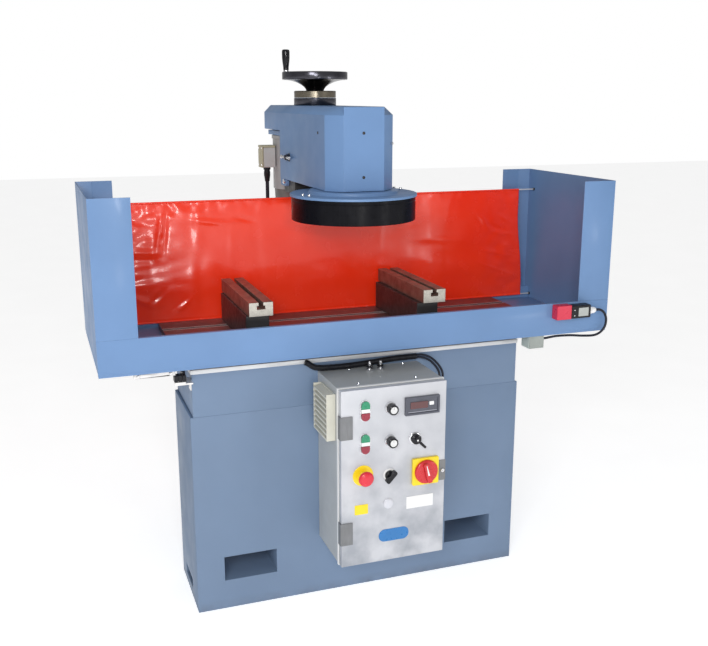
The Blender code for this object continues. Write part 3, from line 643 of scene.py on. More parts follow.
def smooth_route(route, step):
    """Points along a smooth curve through the route, about a step apart."""
    points = [Vector(p) for p in route]
    points = [2 * points[0] - points[1]] + points + [2 * points[-1] - points[-2]]
    found = []
    for a, b, c, d in zip(points, points[1:], points[2:], points[3:]):
        count = max(1, round((c - b).length / step))
        for i in range(count):
            t = i / count
            bend = (2 * a - 5 * b + 4 * c - d) * t * t + (3 * b - a - 3 * c + d) * t * t * t
            found.append(b + ((c - a) * t + bend) / 2)
    found.append(points[-2])
    return found


def swept(points, radius, sides=16):
    """A closed tube along points. radius is a number, or a function of the distance along it."""
    bm = bmesh.new()
    tangent = (points[1] - points[0]).normalized()
    normal = tangent.orthogonal().normalized()
    rows, run = [], 0.0
    for i, point in enumerate(points):
        ahead = points[min(i + 1, len(points) - 1)] - points[max(i - 1, 0)]
        turn = tangent.rotation_difference(ahead.normalized())
        normal = (turn @ normal).normalized()
        tangent = ahead.normalized()
        side = tangent.cross(normal)
        if i:
            run += (point - points[i - 1]).length
        r = radius(run) if callable(radius) else radius
        rows.append([
            bm.verts.new(point + r * (math.cos(2 * math.pi * k / sides) * normal
                                      + math.sin(2 * math.pi * k / sides) * side))
            for k in range(sides)
        ])
    for low, high in zip(rows, rows[1:]):
        for k in range(sides):
            j = (k + 1) % sides
            bm.faces.new((low[k], low[j], high[j], high[k]))
    bm.faces.new(list(reversed(rows[0])))
    bm.faces.new(rows[-1])
    return bm


# Cords

INTERLOCK_ROUTE = [
    (0.6903, -0.231, 0.812), (0.705, -0.231, 0.811), (0.72, -0.231, 0.801), (0.729, -0.2305, 0.782),
    (0.728, -0.229, 0.76), (0.716, -0.227, 0.742), (0.695, -0.224, 0.7325), (0.66, -0.219, 0.7325),
    (0.62, -0.212, 0.7355), (0.58, -0.203, 0.7345), (0.55, -0.191, 0.728), (0.5363, -0.1905, 0.7275),
]
CONDUIT_ROUTE = [
    (-0.176, -0.1435, 0.711), (-0.169, -0.144, 0.708), (-0.158, -0.1445, 0.7), (-0.142, -0.145, 0.693),
    (-0.105, -0.145, 0.6905), (-0.046, -0.145, 0.69), (0.014, -0.145, 0.693), (0.074, -0.145, 0.697),
    (0.12, -0.145, 0.698), (0.155, -0.145, 0.698),
]
LEAD_ROUTES = [
    [
        (0.1553, -0.145, 0.7017), (0.172, -0.1455, 0.701), (0.19, -0.147, 0.6955),
        (0.207, -0.1495, 0.6845), (0.223, -0.155, 0.6665), (0.231, -0.162, 0.648), (0.228, -0.17, 0.631),
        (0.215, -0.1765, 0.6215), (0.198, -0.1795, 0.6185), (0.18, -0.18, 0.618), (0.17, -0.18, 0.618),
    ],
    [
        (0.1553, -0.145, 0.6945), (0.17, -0.1455, 0.6935), (0.186, -0.147, 0.6885), (0.201, -0.15, 0.6785),
        (0.215, -0.156, 0.662), (0.221, -0.163, 0.645), (0.217, -0.171, 0.627), (0.205, -0.177, 0.6145),
        (0.192, -0.1795, 0.6085), (0.18, -0.18, 0.607), (0.17, -0.18, 0.607),
    ],
]


def cord_piece(name, route, radius, body, step=0.004, sides=14, look=None):
    points = smooth_route(route, step)
    mesh = mesh_from(name, swept(points, radius, sides), 60)
    piece = add_piece(name, mesh, look or cable_sheath(), body)
    return piece


def make_cords():
    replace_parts(cord_piece("interlock_cord", INTERLOCK_ROUTE, 0.0035, BODY["interlock_cable"]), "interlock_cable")

    def ribs(run):
        """A corrugated conduit's radius, with a rib every 4 mm."""
        return 0.0078 + 0.0007 * math.sin(2 * math.pi * run / 0.004)

    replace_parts(cord_piece("conduit_hose", CONDUIT_ROUTE, ribs, BODY["conduit"],
                           step=0.0008, sides=20, look=black_plastic()), "conduit")
    leads = [
        cord_piece(f"cabinet_lead_{i}", route, 0.0032, BODY["cabinet_cables"])
        for i, route in enumerate(LEAD_ROUTES)
    ]
    low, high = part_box("cabinet_cables")
    gland = merged(
        "cabinet_lead_gland",
        [
            brick((low[0], low[0] + 0.004), (-0.191, -0.169), (0.599, 0.626)),
            *(spun([(0.0036, 0.0095), (0.0048, 0.009), (0.0052, 0.007), (0.0052, 0.0), (0.0034, 0.0)],
                   (low[0] + 0.003, -0.18, z), (1, 0, 0), 20) for z in (0.618, 0.607)),
        ],
        black_plastic(), BODY["cabinet_cables"], 0.0006)
    for piece in (gland, *leads):
        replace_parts(piece, "cabinet_cables")
    low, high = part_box("motor_cable")
    middle = [(low[0] + high[0]) / 2, (low[1] + high[1]) / 2]
    drop = [(*middle, high[2] + (low[2] - high[2]) * i / 12) for i in range(13)]
    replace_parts(cord_piece("motor_cord", drop, 0.006, BODY["motor_cable"],
                           step=0.02), "motor_cable")


# Base, bed and column

def make_base():
    refined("base_cabinet", base_blue(), 0.0012, 3)
    refined("bed", base_blue(), 0.0008, 2)
    refined("bed_top_plate", bed_strip(), 0.0006, 2)
    refined("column_pedestal", base_blue(), 0.003, 3)
    body = BODY["bed"]
    caps = []
    for side in (-1, 1):
        face = side * 0.4873
        axis = (side, 0, 0)
        caps.append(spun([(0, 0.006), (0.024, 0.006), (0.026, 0.004), (0.026, 0), (0, 0)], (face, 0, 0.668),
                         axis, 40))
        for k in range(4):
            a = math.pi / 4 + k * math.pi / 2
            spot = (face + side * 0.006, 0.0185 * math.cos(a), 0.668 + 0.0185 * math.sin(a))
            caps.append(cap_screw(spot, axis, 0.003, 0.0025))
    merged("screw_end_caps", caps, riser_black(), body, smooth=35)
    seams = [
        brick((-0.15, 0.15), (0.5101, 0.5121), (0.15, 0.56)),
        *(flat_screw((x, 0.5121, z), (0, 1, 0), 0.005) for x in (-0.135, 0.135)
          for z in (0.165, 0.355, 0.545)),
    ]
    merged("pedestal_cover", seams, base_blue(), BODY["column_pedestal"], 0.0006)


def make_column():
    node = "column"
    low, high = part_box(node)
    middle_y = (low[1] + high[1]) / 2
    place = (0, middle_y, 0)
    foot = low[2] + 0.0225
    profile = [(0.0125, high[2]), (0.046, high[2]), (0.048, high[2] - 0.003), (0.048, foot + 0.004),
               (0.052, foot), (0.092, foot), (0.095, foot - 0.003), (0.095, low[2]), (0.03, low[2]),
               (0.03, 1.295), (0.0125, 1.295)]
    bolts = [
        cap_screw((0.074 * math.cos(a), middle_y + 0.074 * math.sin(a), foot), (0, 0, 1), 0.008, 0.008)
        for a in (math.pi / 6 + i * math.pi / 3 for i in range(6))
    ]
    # The column is coloured dark as painted shade: it stands in the shade under the head.
    shade_darkened_steel = surface("column_steel_painted_shade", (0.17, 0.165, 0.16), 0.24, metallic=1.0, mottle=(9.0, 0.15),
                    brushed=((500.0, 500.0, 12.0), 0.06))
    merged("column_ground", [spun(profile, place, steps=72)], shade_darkened_steel, BODY[node], smooth=30,
           node=node)
    merged("column_bolts", bolts, riser_black(), BODY[node], smooth=35)
    merged("column_key", [brick((-0.007, 0.007), (middle_y + 0.0475, middle_y + 0.051), (0.76, 1.33))],
           ground_steel(), BODY[node], 0.0005)


def make_table():
    refined("table", table_steel(), 0.001, 2)
    low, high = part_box("table")
    # Light strips along the T-slot edges: painted highlights where the edges catch the light.
    edges = [brick((low[0] + 0.001, high[0] - 0.001), about(middle + side * 0.0095, 0.0011),
                   (high[2] - 0.0003, high[2] + 0.00015))
             for middle in (-0.0625, 0.0275, 0.1175) for side in (-1, 1)]
    merged("table_slot_edge_highlights", edges, bright_edge(), BODY["table"])
    refined("splash_tray", machine_blue(), 0.0008, 2)
    for side in ("left", "right"):
        refined(f"end_guard_{side}", machine_blue(), 0.0009, 2)
    body = BODY["table"]
    low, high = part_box("splash_tray")
    rivets = []
    for x in (-0.5, -0.25, 0.0, 0.25, 0.5):
        rivets.append(flat_screw((x, 0.2401, 0.772), (0, 1, 0), 0.004))
    for x in (low[0] + 0.018, high[0] - 0.018):
        for z in (0.845, 1.0, 1.16):
            rivets.append(flat_screw((x, 0.2676, z), (0, 1, 0), 0.004))
    merged("tray_rivets", rivets, bright_steel(), body, smooth=35)
    for side, x in (("left", (-0.683, -0.629)), ("right", (0.641, 0.695))):
        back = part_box(f"end_guard_{side}")[1][1] - 0.0027
        merged(f"guard_strip_{side}", [brick(x, (back - 0.0012, back), (0.842, 1.185))], machine_blue(),
               BODY[f"end_guard_{side}"], 0.0004)
    refined("trip_rail", bright_edge(), 0.0006, 2)
    rail_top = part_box("trip_rail")[1][2]
    middle_y = -0.16
    collars = [
        spun([(0.0035, 0.007), (0.0085, 0.007), (0.0085, -0.002), (0.0035, -0.002)],
             (x, middle_y, rail_top - 0.009), steps=20)
        for x in (-0.628, -0.546)
    ]
    merged("trip_rail_nuts", collars, riser_black(), body, smooth=35)


def make_supports():
    for side in ("left", "right"):
        node = f"work_support_{side}"
        body = BODY[node]
        low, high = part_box(node)
        joint = 0.8525
        bar_x = {"left": (-0.331, -0.265), "right": (0.172, 0.24)}[side]
        riser_x = {"left": (-0.337, -0.273), "right": (0.158, 0.222)}[side]
        middle = sum(bar_x) / 2
        top = high[2]
        section = [
            (bar_x[0], joint), (bar_x[1], joint), (bar_x[1], top), (middle + 0.006, top),
            (middle + 0.006, top - 0.01), (middle + 0.011, top - 0.01), (middle + 0.011, top - 0.019),
            (middle - 0.011, top - 0.019), (middle - 0.011, top - 0.01), (middle - 0.006, top - 0.01),
            (middle - 0.006, top), (bar_x[0], top),
        ]
        bar = merged(f"support_bar_{side}", [prism(section, (low[1], high[1]))], bar_steel(), body,
                     0.0012, 2)
        riser = merged(f"support_riser_{side}", [brick(riser_x, (-0.14, 0.19), (low[2], joint - 0.0001))],
                       riser_black(), body, 0.002, 3)
        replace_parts(bar, node)
        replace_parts(riser, node)
        middle_riser = sum(riser_x) / 2
        bolts = [cap_screw((middle_riser + dx, -0.14, z), (0, -1, 0), 0.0055, 0.004)
                 for dx in (-0.018, 0.018) for z in (0.795,)]
        nuts = [
            prism(hexagon((middle, y), 0.0095), (top - 0.019, top - 0.0105), "XY") for y in (-0.07, 0.105)
        ]
        merged(f"support_bolts_{side}", bolts + nuts, riser_black(), body, smooth=30)


# Curtain and wires

# Large creases in the vinyl: x, height above the bottom, angle from upright in degrees, half length,
# half width, depth.
CREASES = (
    (-0.505, 0.272, -10, 0.055, 0.0085, 0.0042), (-0.489, 0.262, -6, 0.05, 0.006, -0.0022),
    (-0.6, 0.3, 78, 0.05, 0.007, 0.0024), (-0.61, 0.262, 70, 0.045, 0.009, -0.0026),
    (-0.56, 0.215, 84, 0.04, 0.011, 0.0022), (-0.56, 0.068, 62, 0.034, 0.009, 0.0034),
    (-0.52, 0.078, -50, 0.026, 0.008, -0.003), (-0.445, 0.046, -52, 0.026, 0.0075, 0.004),
    (-0.36, 0.296, 82, 0.06, 0.008, 0.0018), (-0.25, 0.3, 76, 0.03, 0.008, -0.0018),
    (0.3, 0.08, 70, 0.06, 0.012, 0.0022), (0.15, 0.3, 84, 0.08, 0.01, 0.0014),
    (0.56, 0.255, 40, 0.03, 0.009, 0.0032), (0.6, 0.235, 66, 0.036, 0.0085, -0.0034),
    (0.635, 0.215, 80, 0.032, 0.008, 0.0036), (0.64, 0.262, 58, 0.026, 0.007, 0.0024),
    (0.6, 0.15, 76, 0.06, 0.005, 0.0018), (0.6, 0.095, 68, 0.07, 0.005, 0.0018),
    (0.4, 0.205, 85, 0.09, 0.012, 0.0012),
)
FOLDS = 34
GRID = (380, 110)


def make_curtain():
    low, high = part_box("curtain")
    top_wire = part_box("curtain_wire_top")
    bottom_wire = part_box("curtain_wire_bottom")
    y = (low[1] + high[1]) / 2
    top = top_wire[1][2] + 0.0012
    bottom = bottom_wire[0][2] - 0.0008
    body = BODY["curtain"]
    columns, rows = GRID
    width = high[0] - low[0]
    height = top - bottom
    random.seed(11)
    folds = [(random.uniform(low[0], high[0]), random.uniform(0.01, 0.035), random.uniform(-1, 1))
             for _ in range(FOLDS)]

    def crumple(x, z):
        """The depth of the few large creases at a point."""
        depth = 0.0
        for cx, cz, angle, long, wide, deep in CREASES:
            a = math.radians(angle)
            across = (x - cx) * math.cos(a) + (z - cz) * math.sin(a)
            along = (z - cz) * math.cos(a) - (x - cx) * math.sin(a)
            if abs(across) < 3 * wide and abs(along) < 2.5 * long:
                depth += deep * math.exp(-(across / wide) ** 2 - (along / long) ** 2)
        return depth

    def depth(x, t):
        """How far the vinyl stands off its plane at x, with t from 0 at the bottom to 1 at the top."""
        upper = math.exp(-((1 - t) / 0.085) ** 2)
        held = min(1.0, 9 * t, 9 * (1 - t))
        crease = sum(amount * math.exp(-(((x - centre) + 0.04 * (1 - t) * amount) / size) ** 2)
                     for centre, size, amount in folds)
        slack = noise.noise(Vector((x * 3.1, t * 2.3, 4.0))) * 0.0034
        ripple = noise.noise(Vector((x * 10.0, t * 6.0, 9.0))) * 0.0014
        loose = 0.35 + 0.65 / (1 + math.exp((x + 0.36) / 0.05))
        gathers = noise.noise(Vector((x * 38.0, t * 11.0, 2.0))) * 0.0042 * upper * loose
        near_left = math.exp(-((x - low[0] - 0.06) / 0.12) ** 2)
        near_right = math.exp(-((x - high[0] + 0.05) / 0.08) ** 2)
        left = near_left * noise.noise(Vector((x * 20.0, t * 14.0, 1.0))) * 0.003
        right = near_right * noise.noise(Vector((x * 26.0, t * 13.0, 7.0))) * 0.0036
        return held * (crease * 0.0006 + slack + ripple + left + right + crumple(x, t * height)) + gathers

    bm = bmesh.new()
    grid = []
    for j in range(rows + 1):
        t = j / rows
        z = bottom + (top - bottom) * t
        line = []
        for i in range(columns + 1):
            share = i / columns
            x = low[0] + width * share
            drift = (0.012 - 0.024 * t + 0.004 * math.sin(7.0 * t)) * share ** 8
            line.append(bm.verts.new((x + drift, y - depth(x, t), z)))
        grid.append(line)
    for below, above in zip(grid, grid[1:]):
        for i in range(columns):
            bm.faces.new((below[i], below[i + 1], above[i + 1], above[i]))
    curtain = add_piece("vinyl_curtain", mesh_from("vinyl_curtain", bm, 60), vinyl(), body)
    thick = curtain.modifiers.new("film", "SOLIDIFY")
    thick.thickness = 0.0008
    thick.offset = 0
    sleeves = [
        merged(f"curtain_hem_{end}",
               [swept([Vector((low[0] + 0.0004 + (width - 0.0008 + drift) * i / 90,
                               y + 0.0006 * math.sin(i * 1.7), z)) for i in range(91)], 0.0031, 14)],
               vinyl(), body, smooth=60)
        for end, z, drift in (("bottom", (bottom_wire[0][2] + bottom_wire[1][2]) / 2, 0.012),
                              ("top", (top_wire[0][2] + top_wire[1][2]) / 2, -0.01))
    ]
    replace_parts(curtain, "curtain")
    ends = []
    for x, side in ((top_wire[0][0], -1), (top_wire[1][0], 1)):
        for z in ((top_wire[0][2] + top_wire[1][2]) / 2, (bottom_wire[0][2] + bottom_wire[1][2]) / 2):
            ends.append(spun([(0.0022, 0.005), (0.0038, 0.005), (0.0044, 0.0042), (0.0044, 0), (0.0022, 0)],
                             (x, y, z), (-side, 0, 0), 16))
    merged("curtain_wire_ends", ends, riser_black(), body, smooth=35)


# Interlock, junction box and limit switch

def make_switches():
    body = BODY["interlock_switch"]
    low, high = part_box("interlock_switch")
    back = high[1]
    front = low[1]
    head = merged("interlock_head", [brick((low[0], low[0] + 0.0485), (front, back), (low[2], high[2]))],
                  plastic("interlock_red", (0.62, 0.012, 0.05), 0.3), body, 0.0025, 3)
    box = merged(
        "interlock_body",
        [brick((low[0] + 0.049, 0.665), (front + 0.0005, back), (low[2] + 0.001, high[2] - 0.003))],
        black_plastic(), body, 0.0022, 3)
    merged("interlock_label", [prism(rounded_rectangle((0.64, 0.8125), (0.0165, 0.0125), 0.001),
                                     (front - 0.0003, front + 0.001))],
           plastic("label_grey", (0.42, 0.44, 0.42), 0.5, 0.0), body, 0.0003)
    screws = [flat_screw((x, front + 0.0006, z), (0, -1, 0), 0.0022) for x in (0.6105,)
              for z in (0.803, 0.819)]
    merged("interlock_screws", screws, bright_steel(), body, smooth=35)
    gland = merged(
        "interlock_gland",
        [
            prism(hexagon((-0.231, 0.812), 0.0112), (0.6651, 0.673), "YZ"),
            spun([(0.0038, 0.0245), (0.0062, 0.0235), (0.0086, 0.02), (0.0098, 0.015), (0.0098, 0.0075),
                  (0.0038, 0.0075)], (0.6651, -0.231, 0.812), (1, 0, 0), 32),
        ],
        white_plastic(), body, 0.0006, 2)
    for piece in (head, box, gland):
        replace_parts(piece, "interlock_switch")
    refined("junction_box", surface("junction_grey", (0.5, 0.55, 0.5), 0.45, mottle=(20.0, 0.08),
                                    grain=(500.0, 0.2, 0.0003)), 0.0012, 2)
    low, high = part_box("junction_box")
    lid = [brick((low[0] + 0.001, high[0] - 0.001), (low[1] - 0.0022, low[1] - 0.0002),
                 (low[2] + 0.001, high[2] - 0.001))]
    lid += [flat_screw((x, low[1] - 0.0022, z), (0, -1, 0), 0.0022)
            for x in (low[0] + 0.006, high[0] - 0.006) for z in (low[2] + 0.006, high[2] - 0.006)]
    merged("junction_box_lid", lid, surface("junction_lid", (0.3, 0.33, 0.31), 0.5, mottle=(20.0, 0.08)),
           body, 0.0006)
    refined("limit_switch", bright_edge(), 0.001, 2)
    body = BODY["limit_switch"]
    hood = [brick((-0.5372, -0.5068), (-0.1732, -0.1468), (0.6985, 0.7015)),
            brick((-0.5372, -0.5275), (-0.1732, -0.1468), (0.7015, 0.7165)),
            brick((-0.5165, -0.5068), (-0.1732, -0.1468), (0.7015, 0.7165)),
            brick((-0.5275, -0.5165), (-0.1732, -0.1655), (0.7015, 0.7165)),
            brick((-0.5275, -0.5165), (-0.1545, -0.1468), (0.7015, 0.7165))]
    merged("limit_switch_hood", hood, black_plastic(), body, 0.0012, 2)


# Wheel head

def make_head():
    body = BODY["head_cover"]
    refined("head_cover", machine_blue(), 0.0016, 3)
    refined("head_casting", machine_blue(), 0.0012, 2)
    low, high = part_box("head_cover")
    left, right, front = low[0], high[0], low[1]
    dark = [flat_screw((left, -0.0313, 1.3246), (-1, 0, 0), 0.0042),
            flat_screw((right, -0.0313, 1.3246), (1, 0, 0), 0.0042),
            flat_screw((-0.0011, front - 0.0008, 1.3258), (0, -1, 0), 0.0042),
            flat_screw((-0.0011, front - 0.0008, 1.2087), (0, -1, 0), 0.0042)]
    merged("head_screws", dark, riser_black(), body, smooth=35)
    merged("head_front_plate", [brick((-0.0575, 0.0575), (front - 0.0008, front + 0.003),
                                      (low[2] + 0.0004, high[2] - 0.0006))],
           machine_blue(), body, 0.0006, 2)
    merged("head_right_stud", [spun([(0, 0.007), (0.003, 0.007), (0.0038, 0.006), (0.0038, 0), (0, 0)],
                                    (0.088, -0.1005, 1.2965), (1, -1, 0), 20)], bright_steel(), body,
           smooth=35)
    lug = prism(arc((0.315, 1.158), 0.0085, math.pi, 1.5 * math.pi, 6)
                + arc((0.36, 1.158), 0.0085, 1.5 * math.pi, 2 * math.pi, 6) + [(0.3685, 1.1755),
                                                                                  (0.3065, 1.1755)],
                (left + 0.0005, left + 0.012), "YZ")
    merged("head_lug", [lug], machine_blue(), body, 0.001)
    merged("head_lug_bolt", [cap_screw((left + 0.0005, 0.318, 1.164), (-1, 0, 0), 0.0075, 0.006)],
           bright_steel(), body, smooth=35)
    column_y, bore, key = sum(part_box("dial_ring")[i][1] for i in (0, 1)) / 2, 0.0495, 0.009
    back = column_y + 0.0535
    turn = math.asin(key / bore)
    housing = [(key, back), (0.088, back), (0.088, 0.24), (-0.088, 0.24), (-0.088, back), (-key, back)]
    housing += arc((0, column_y), bore, math.pi / 2 + turn, 2.5 * math.pi - turn, 48)
    # A housing round the column under the head cover; its black is painted shade for the dark wedge under the head.
    merged("clamp_housing_black_for_shade", [prism(housing, (1.13, low[2] - 0.0004), "XY")], riser_black(), body,
           0.0015)
    place = (0, (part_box("guard_disc")[0][1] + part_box("guard_disc")[1][1]) / 2, 0)
    disc_low, disc_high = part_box("guard_disc")
    radius, rim, step, under = 0.1775, 0.125, disc_high[2], disc_low[2]
    lip = 1.1605
    merged(
        "guard_ring",
        [spun([(0.041, step), (rim - 0.003, step), (rim - 0.0008, step - 0.0008), (rim, step - 0.003),
               (rim + 0.0005, lip + 0.0018), (rim + 0.0025, lip), (radius - 0.0022, lip),
               (radius - 0.0006, lip - 0.0008), (radius, lip - 0.0022), (radius, under), (0.041, under)],
              place, steps=128)],
        machine_blue(), body, smooth=28, node="guard_disc")
    studs = [
        cap_screw((0.163 * math.cos(a), place[1] + 0.163 * math.sin(a), lip), (0, 0, 1), 0.0042, 0.0055)
        for a in (math.radians(d) for d in (14, 24, 194, 204))
    ]
    merged("guard_studs", studs, bright_steel(), body, smooth=35)
    skirt_low, skirt_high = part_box("guard_skirt")
    outer, bottom, top = 0.1735, skirt_low[2], skirt_high[2]
    skirt_profile = [(outer - 0.003, top), (outer - 0.0004, top), (outer, top - 0.0006),
                     (outer, top - 0.0075), (outer - 0.0008, top - 0.0085), (outer - 0.0008, top - 0.01),
                     (outer, top - 0.011), (outer, bottom + 0.0012), (outer - 0.0012, bottom),
                     (outer - 0.003, bottom)]
    merged("rubber_skirt", [spun(skirt_profile, place, steps=128)], skirt_black(), body, smooth=28,
           node="guard_skirt")
    collar_low, collar_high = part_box("dial_ring")
    middle_y = (collar_low[1] + collar_high[1]) / 2
    band = merged(
        "collar_band",
        [spun([(0.064, 1.4165), (0.0647, 1.4155), (0.0647, 1.3965), (0.064, 1.3945)], (0, middle_y, 0),
              steps=96)],
        blued_steel(), body, smooth=28)


def make_clamp_lever():
    node = "clamp_lever"
    body = BODY[node]
    hub = Vector((-0.0983, 0.265, 1.241))
    along = [hub + Vector((-0.0092, -0.043 + 0.088 * i / 12, 0)) for i in range(13)]
    chrome = [
        swept(along, 0.0042, 20),
        *(spun([(size * math.sin(math.pi * i / 14), size * math.cos(math.pi * i / 14)) for i in range(15)],
               hub + Vector((-0.0092, y, 0)), (0, 1, 0), 24)
          for y, size in ((0.047, 0.0065), (-0.041, 0.0055))),
    ]
    boss = [spun([(0, 0.0155), (0.0055, 0.0155), (0.0075, 0.014), (0.008, 0.01), (0.01, 0.0085),
                  (0.01, 0.001), (0.009, 0), (0, 0)], hub, (-1, 0, 0), 32)]
    bar = merged("clamp_bar", chrome, bright_steel(), body, smooth=40)
    boss = merged("clamp_boss", boss, blued_steel(), body, smooth=40)
    for piece in (bar, boss):
        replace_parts(piece, node)
    merged("clamp_washer", [spun([(0.006, 0.0009), (0.0125, 0.0009), (0.013, 0.0004), (0.013, -0.0002),
                                  (0.006, -0.0002)], (-0.0981, 0.265, 1.241), (-1, 0, 0), 28)],
           riser_black(), BODY["head_cover"], smooth=35)


def make_handwheel():
    node = "handwheel"
    body = BODY[node]
    low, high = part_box(node)
    place = (0, (low[1] + high[1]) / 2, 0)
    profile = [(0, 1.486), (0.02, 1.486), (0.0235, 1.484), (0.026, 1.48), (0.03, 1.4785), (0.073, 1.4785),
               (0.079, 1.4815), (0.082, 1.49), (0.0845, 1.4932), (0.086, 1.494), (0.0975, 1.494),
               (0.0994, 1.4932), (0.1, 1.4915), (0.1, 1.4735), (0.0994, 1.4716), (0.0975, 1.4708),
               (0.085, 1.4702), (0.07, 1.4675), (0.056, 1.463), (0.043, 1.4565), (0.034, 1.45),
               (0.029, 1.444), (0.027, 1.4385), (0, 1.4385)]
    merged("handwheel_turned", [spun(profile, place, steps=96)], blued_steel(), body, smooth=32,
           node=node)
    merged("handwheel_nut", [
        prism(hexagon((0, place[1]), 0.0115), (1.486, 1.4915), "XY"),
        spun([(0, 1.4935), (0.005, 1.4935), (0.0058, 1.4925), (0.0058, 1.4915), (0, 1.4915)], place,
             steps=24),
    ], bright_steel(), body, 0.0006)
    ring_low, ring_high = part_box("dial_ring")
    bottom, top = ring_low[2], ring_high[2]
    ring = [(0.0135, top), (0.0622, top), (0.064, top - 0.0018), (0.064, bottom + 0.0008), (0.0632, bottom),
            (0.0135, bottom)]
    merged("dial_turned", [spun(ring, place, steps=96)], satin_ring(), BODY["dial_ring"], smooth=28,
           node="dial_ring")
    marks = []
    for i in range(50):
        a = 2 * math.pi * i / 50
        tall = 0.0055 if i % 5 == 0 else 0.0032
        mark = brick((0.0638, 0.06425), (-0.00028, 0.00028), (top - 0.0022 - tall, top - 0.0022))
        bmesh.ops.rotate(mark, matrix=Matrix.Rotation(a, 3, "Z"), verts=mark.verts)
        bmesh.ops.translate(mark, vec=place, verts=mark.verts)
        marks.append(mark)
    merged("dial_marks", marks, riser_black(), BODY["dial_ring"])
    grip_low, grip_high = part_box("crank_grip")
    spot = ((grip_low[0] + grip_high[0]) / 2, (grip_low[1] + grip_high[1]) / 2, 0)
    bottom, top = grip_low[2], grip_high[2]
    grip_profile = [(0, top), (0.007, top), (0.01, top - 0.001), (0.0115, top - 0.0035),
                    (0.0118, top - 0.008), (0.0116, top - 0.025), (0.0104, top - 0.038),
                    (0.009, top - 0.048), (0.0084, top - 0.054), (0.0086, bottom + 0.0062),
                    (0.0078, bottom + 0.0055), (0, bottom + 0.0055)]
    merged("grip_moulded", [spun(grip_profile, spot, steps=40)], glossy_black(), BODY["crank_grip"],
           smooth=40, node="crank_grip")
    ferrule = [(0, bottom + 0.0052), (0.007, bottom + 0.0052), (0.0082, bottom + 0.004),
               (0.0082, bottom + 0.0004), (0, bottom + 0.0004)]
    merged("grip_ferrule", [spun(ferrule, spot, steps=32)], bright_steel(), BODY["crank_grip"], smooth=35)


def make_motor():
    node = "spindle_motor"
    body = BODY[node]
    low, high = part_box(node)
    place = (0, (low[1] + high[1]) / 2, 0)
    top, bottom = high[2], low[2]
    shell = [(0, top), (0.092, top), (0.094, top - 0.002), (0.094, top - 0.0105), (0.091, top - 0.012),
             (0.091, 1.1905), (0.0902, 1.19), (0.0902, 1.1885), (0.091, 1.188), (0.091, 1.13),
             (0.0895, 1.1285), (0, 1.1285)]
    cowl = [(0, 1.1283), (0.0875, 1.1283), (0.087, 1.118), (0.084, 1.07), (0.081, 1.057), (0.074, bottom),
            (0, bottom)]
    motor = merged("motor_stator", [spun(shell, place, steps=96)], motor_grey(), body, smooth=28)
    cap = merged("motor_cowl", [spun(cowl, place, steps=96)],
                 surface("cowl_grey", (0.16, 0.15, 0.14), 0.45, metallic=0.3, mottle=(20.0, 0.12),
                         grain=(400.0, 0.2, 0.0004)),
                 body, smooth=28)
    for piece in (motor, cap):
        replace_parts(piece, node)
    bolts = [cap_screw((0.078 * math.cos(a), place[1] + 0.078 * math.sin(a), bottom + 0.01), (0, 0, -1),
                       0.0035, 0.0095)
             for a in (math.radians(45 + 90 * i) for i in range(4))]
    slots = []
    for ring, count in ((0.02, 8), (0.036, 14), (0.052, 20)):
        for i in range(count):
            a = 2 * math.pi * i / count
            slots.append(spun([(0, 0.001), (0.0036, 0.001), (0.0036, -0.0002), (0, -0.0002)],
                              (ring * math.cos(a), place[1] + ring * math.sin(a), bottom), (0, 0, -1), 12))
    merged("motor_cowl_vents", slots, black_plastic(), body, smooth=35)
    merged("motor_cowl_bolts", bolts, bright_steel(), body, smooth=35)
    box_low, box_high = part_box("terminal_box")
    x, y, z = (box_low[0], box_high[0]), (box_low[1], box_high[1]), (1.198, box_high[2])
    box = merged("terminal_housing", [brick((x[0] + 0.006, x[1]), y, (z[0], z[1] - 0.0065))],
                 surface("terminal_grey", (0.52, 0.52, 0.5), 0.4, mottle=(20.0, 0.08),
                         grain=(500.0, 0.2, 0.0003)),
                 body, 0.003, 3)
    lid = merged("terminal_lid", [
        brick((x[0], x[0] + 0.0055), (y[0] - 0.0005, y[1] + 0.0005), (z[0] - 0.0005, z[1] + 0.0002)),
        brick((x[0] + 0.0055, x[1] - 0.0005), (y[0] - 0.0005, y[1] + 0.0005),
              (z[1] - 0.0065, z[1] + 0.0002))],
        box_beige(), body, 0.0012, 3)
    merged("terminal_screws", [flat_screw((x[0], yy, zz), (-1, 0, 0), 0.003)
                               for yy in (y[0] + 0.007, y[1] - 0.007)
                               for zz in (z[0] + 0.008, z[1] - 0.008)],
           bright_steel(), body, smooth=35)
    spot = ((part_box("motor_cable")[0][0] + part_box("motor_cable")[1][0]) / 2, place[1])
    gland = merged("terminal_gland", [
        prism(hexagon(spot, 0.012), (1.19, 1.1978), "XY"),
        spun([(0.0065, 1.19), (0.0094, 1.19), (0.0094, 1.185), (0.0104, 1.184), (0.0104, 1.17),
              (0.0098, 1.169), (0.008, 1.156), (0.0075, 1.152), (0.0065, 1.152)], (*spot, 0),
             steps=28),
    ], black_plastic(), body, 0.0006)
    for piece in (box, lid, gland):
        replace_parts(piece, "terminal_box")


# Cabinet

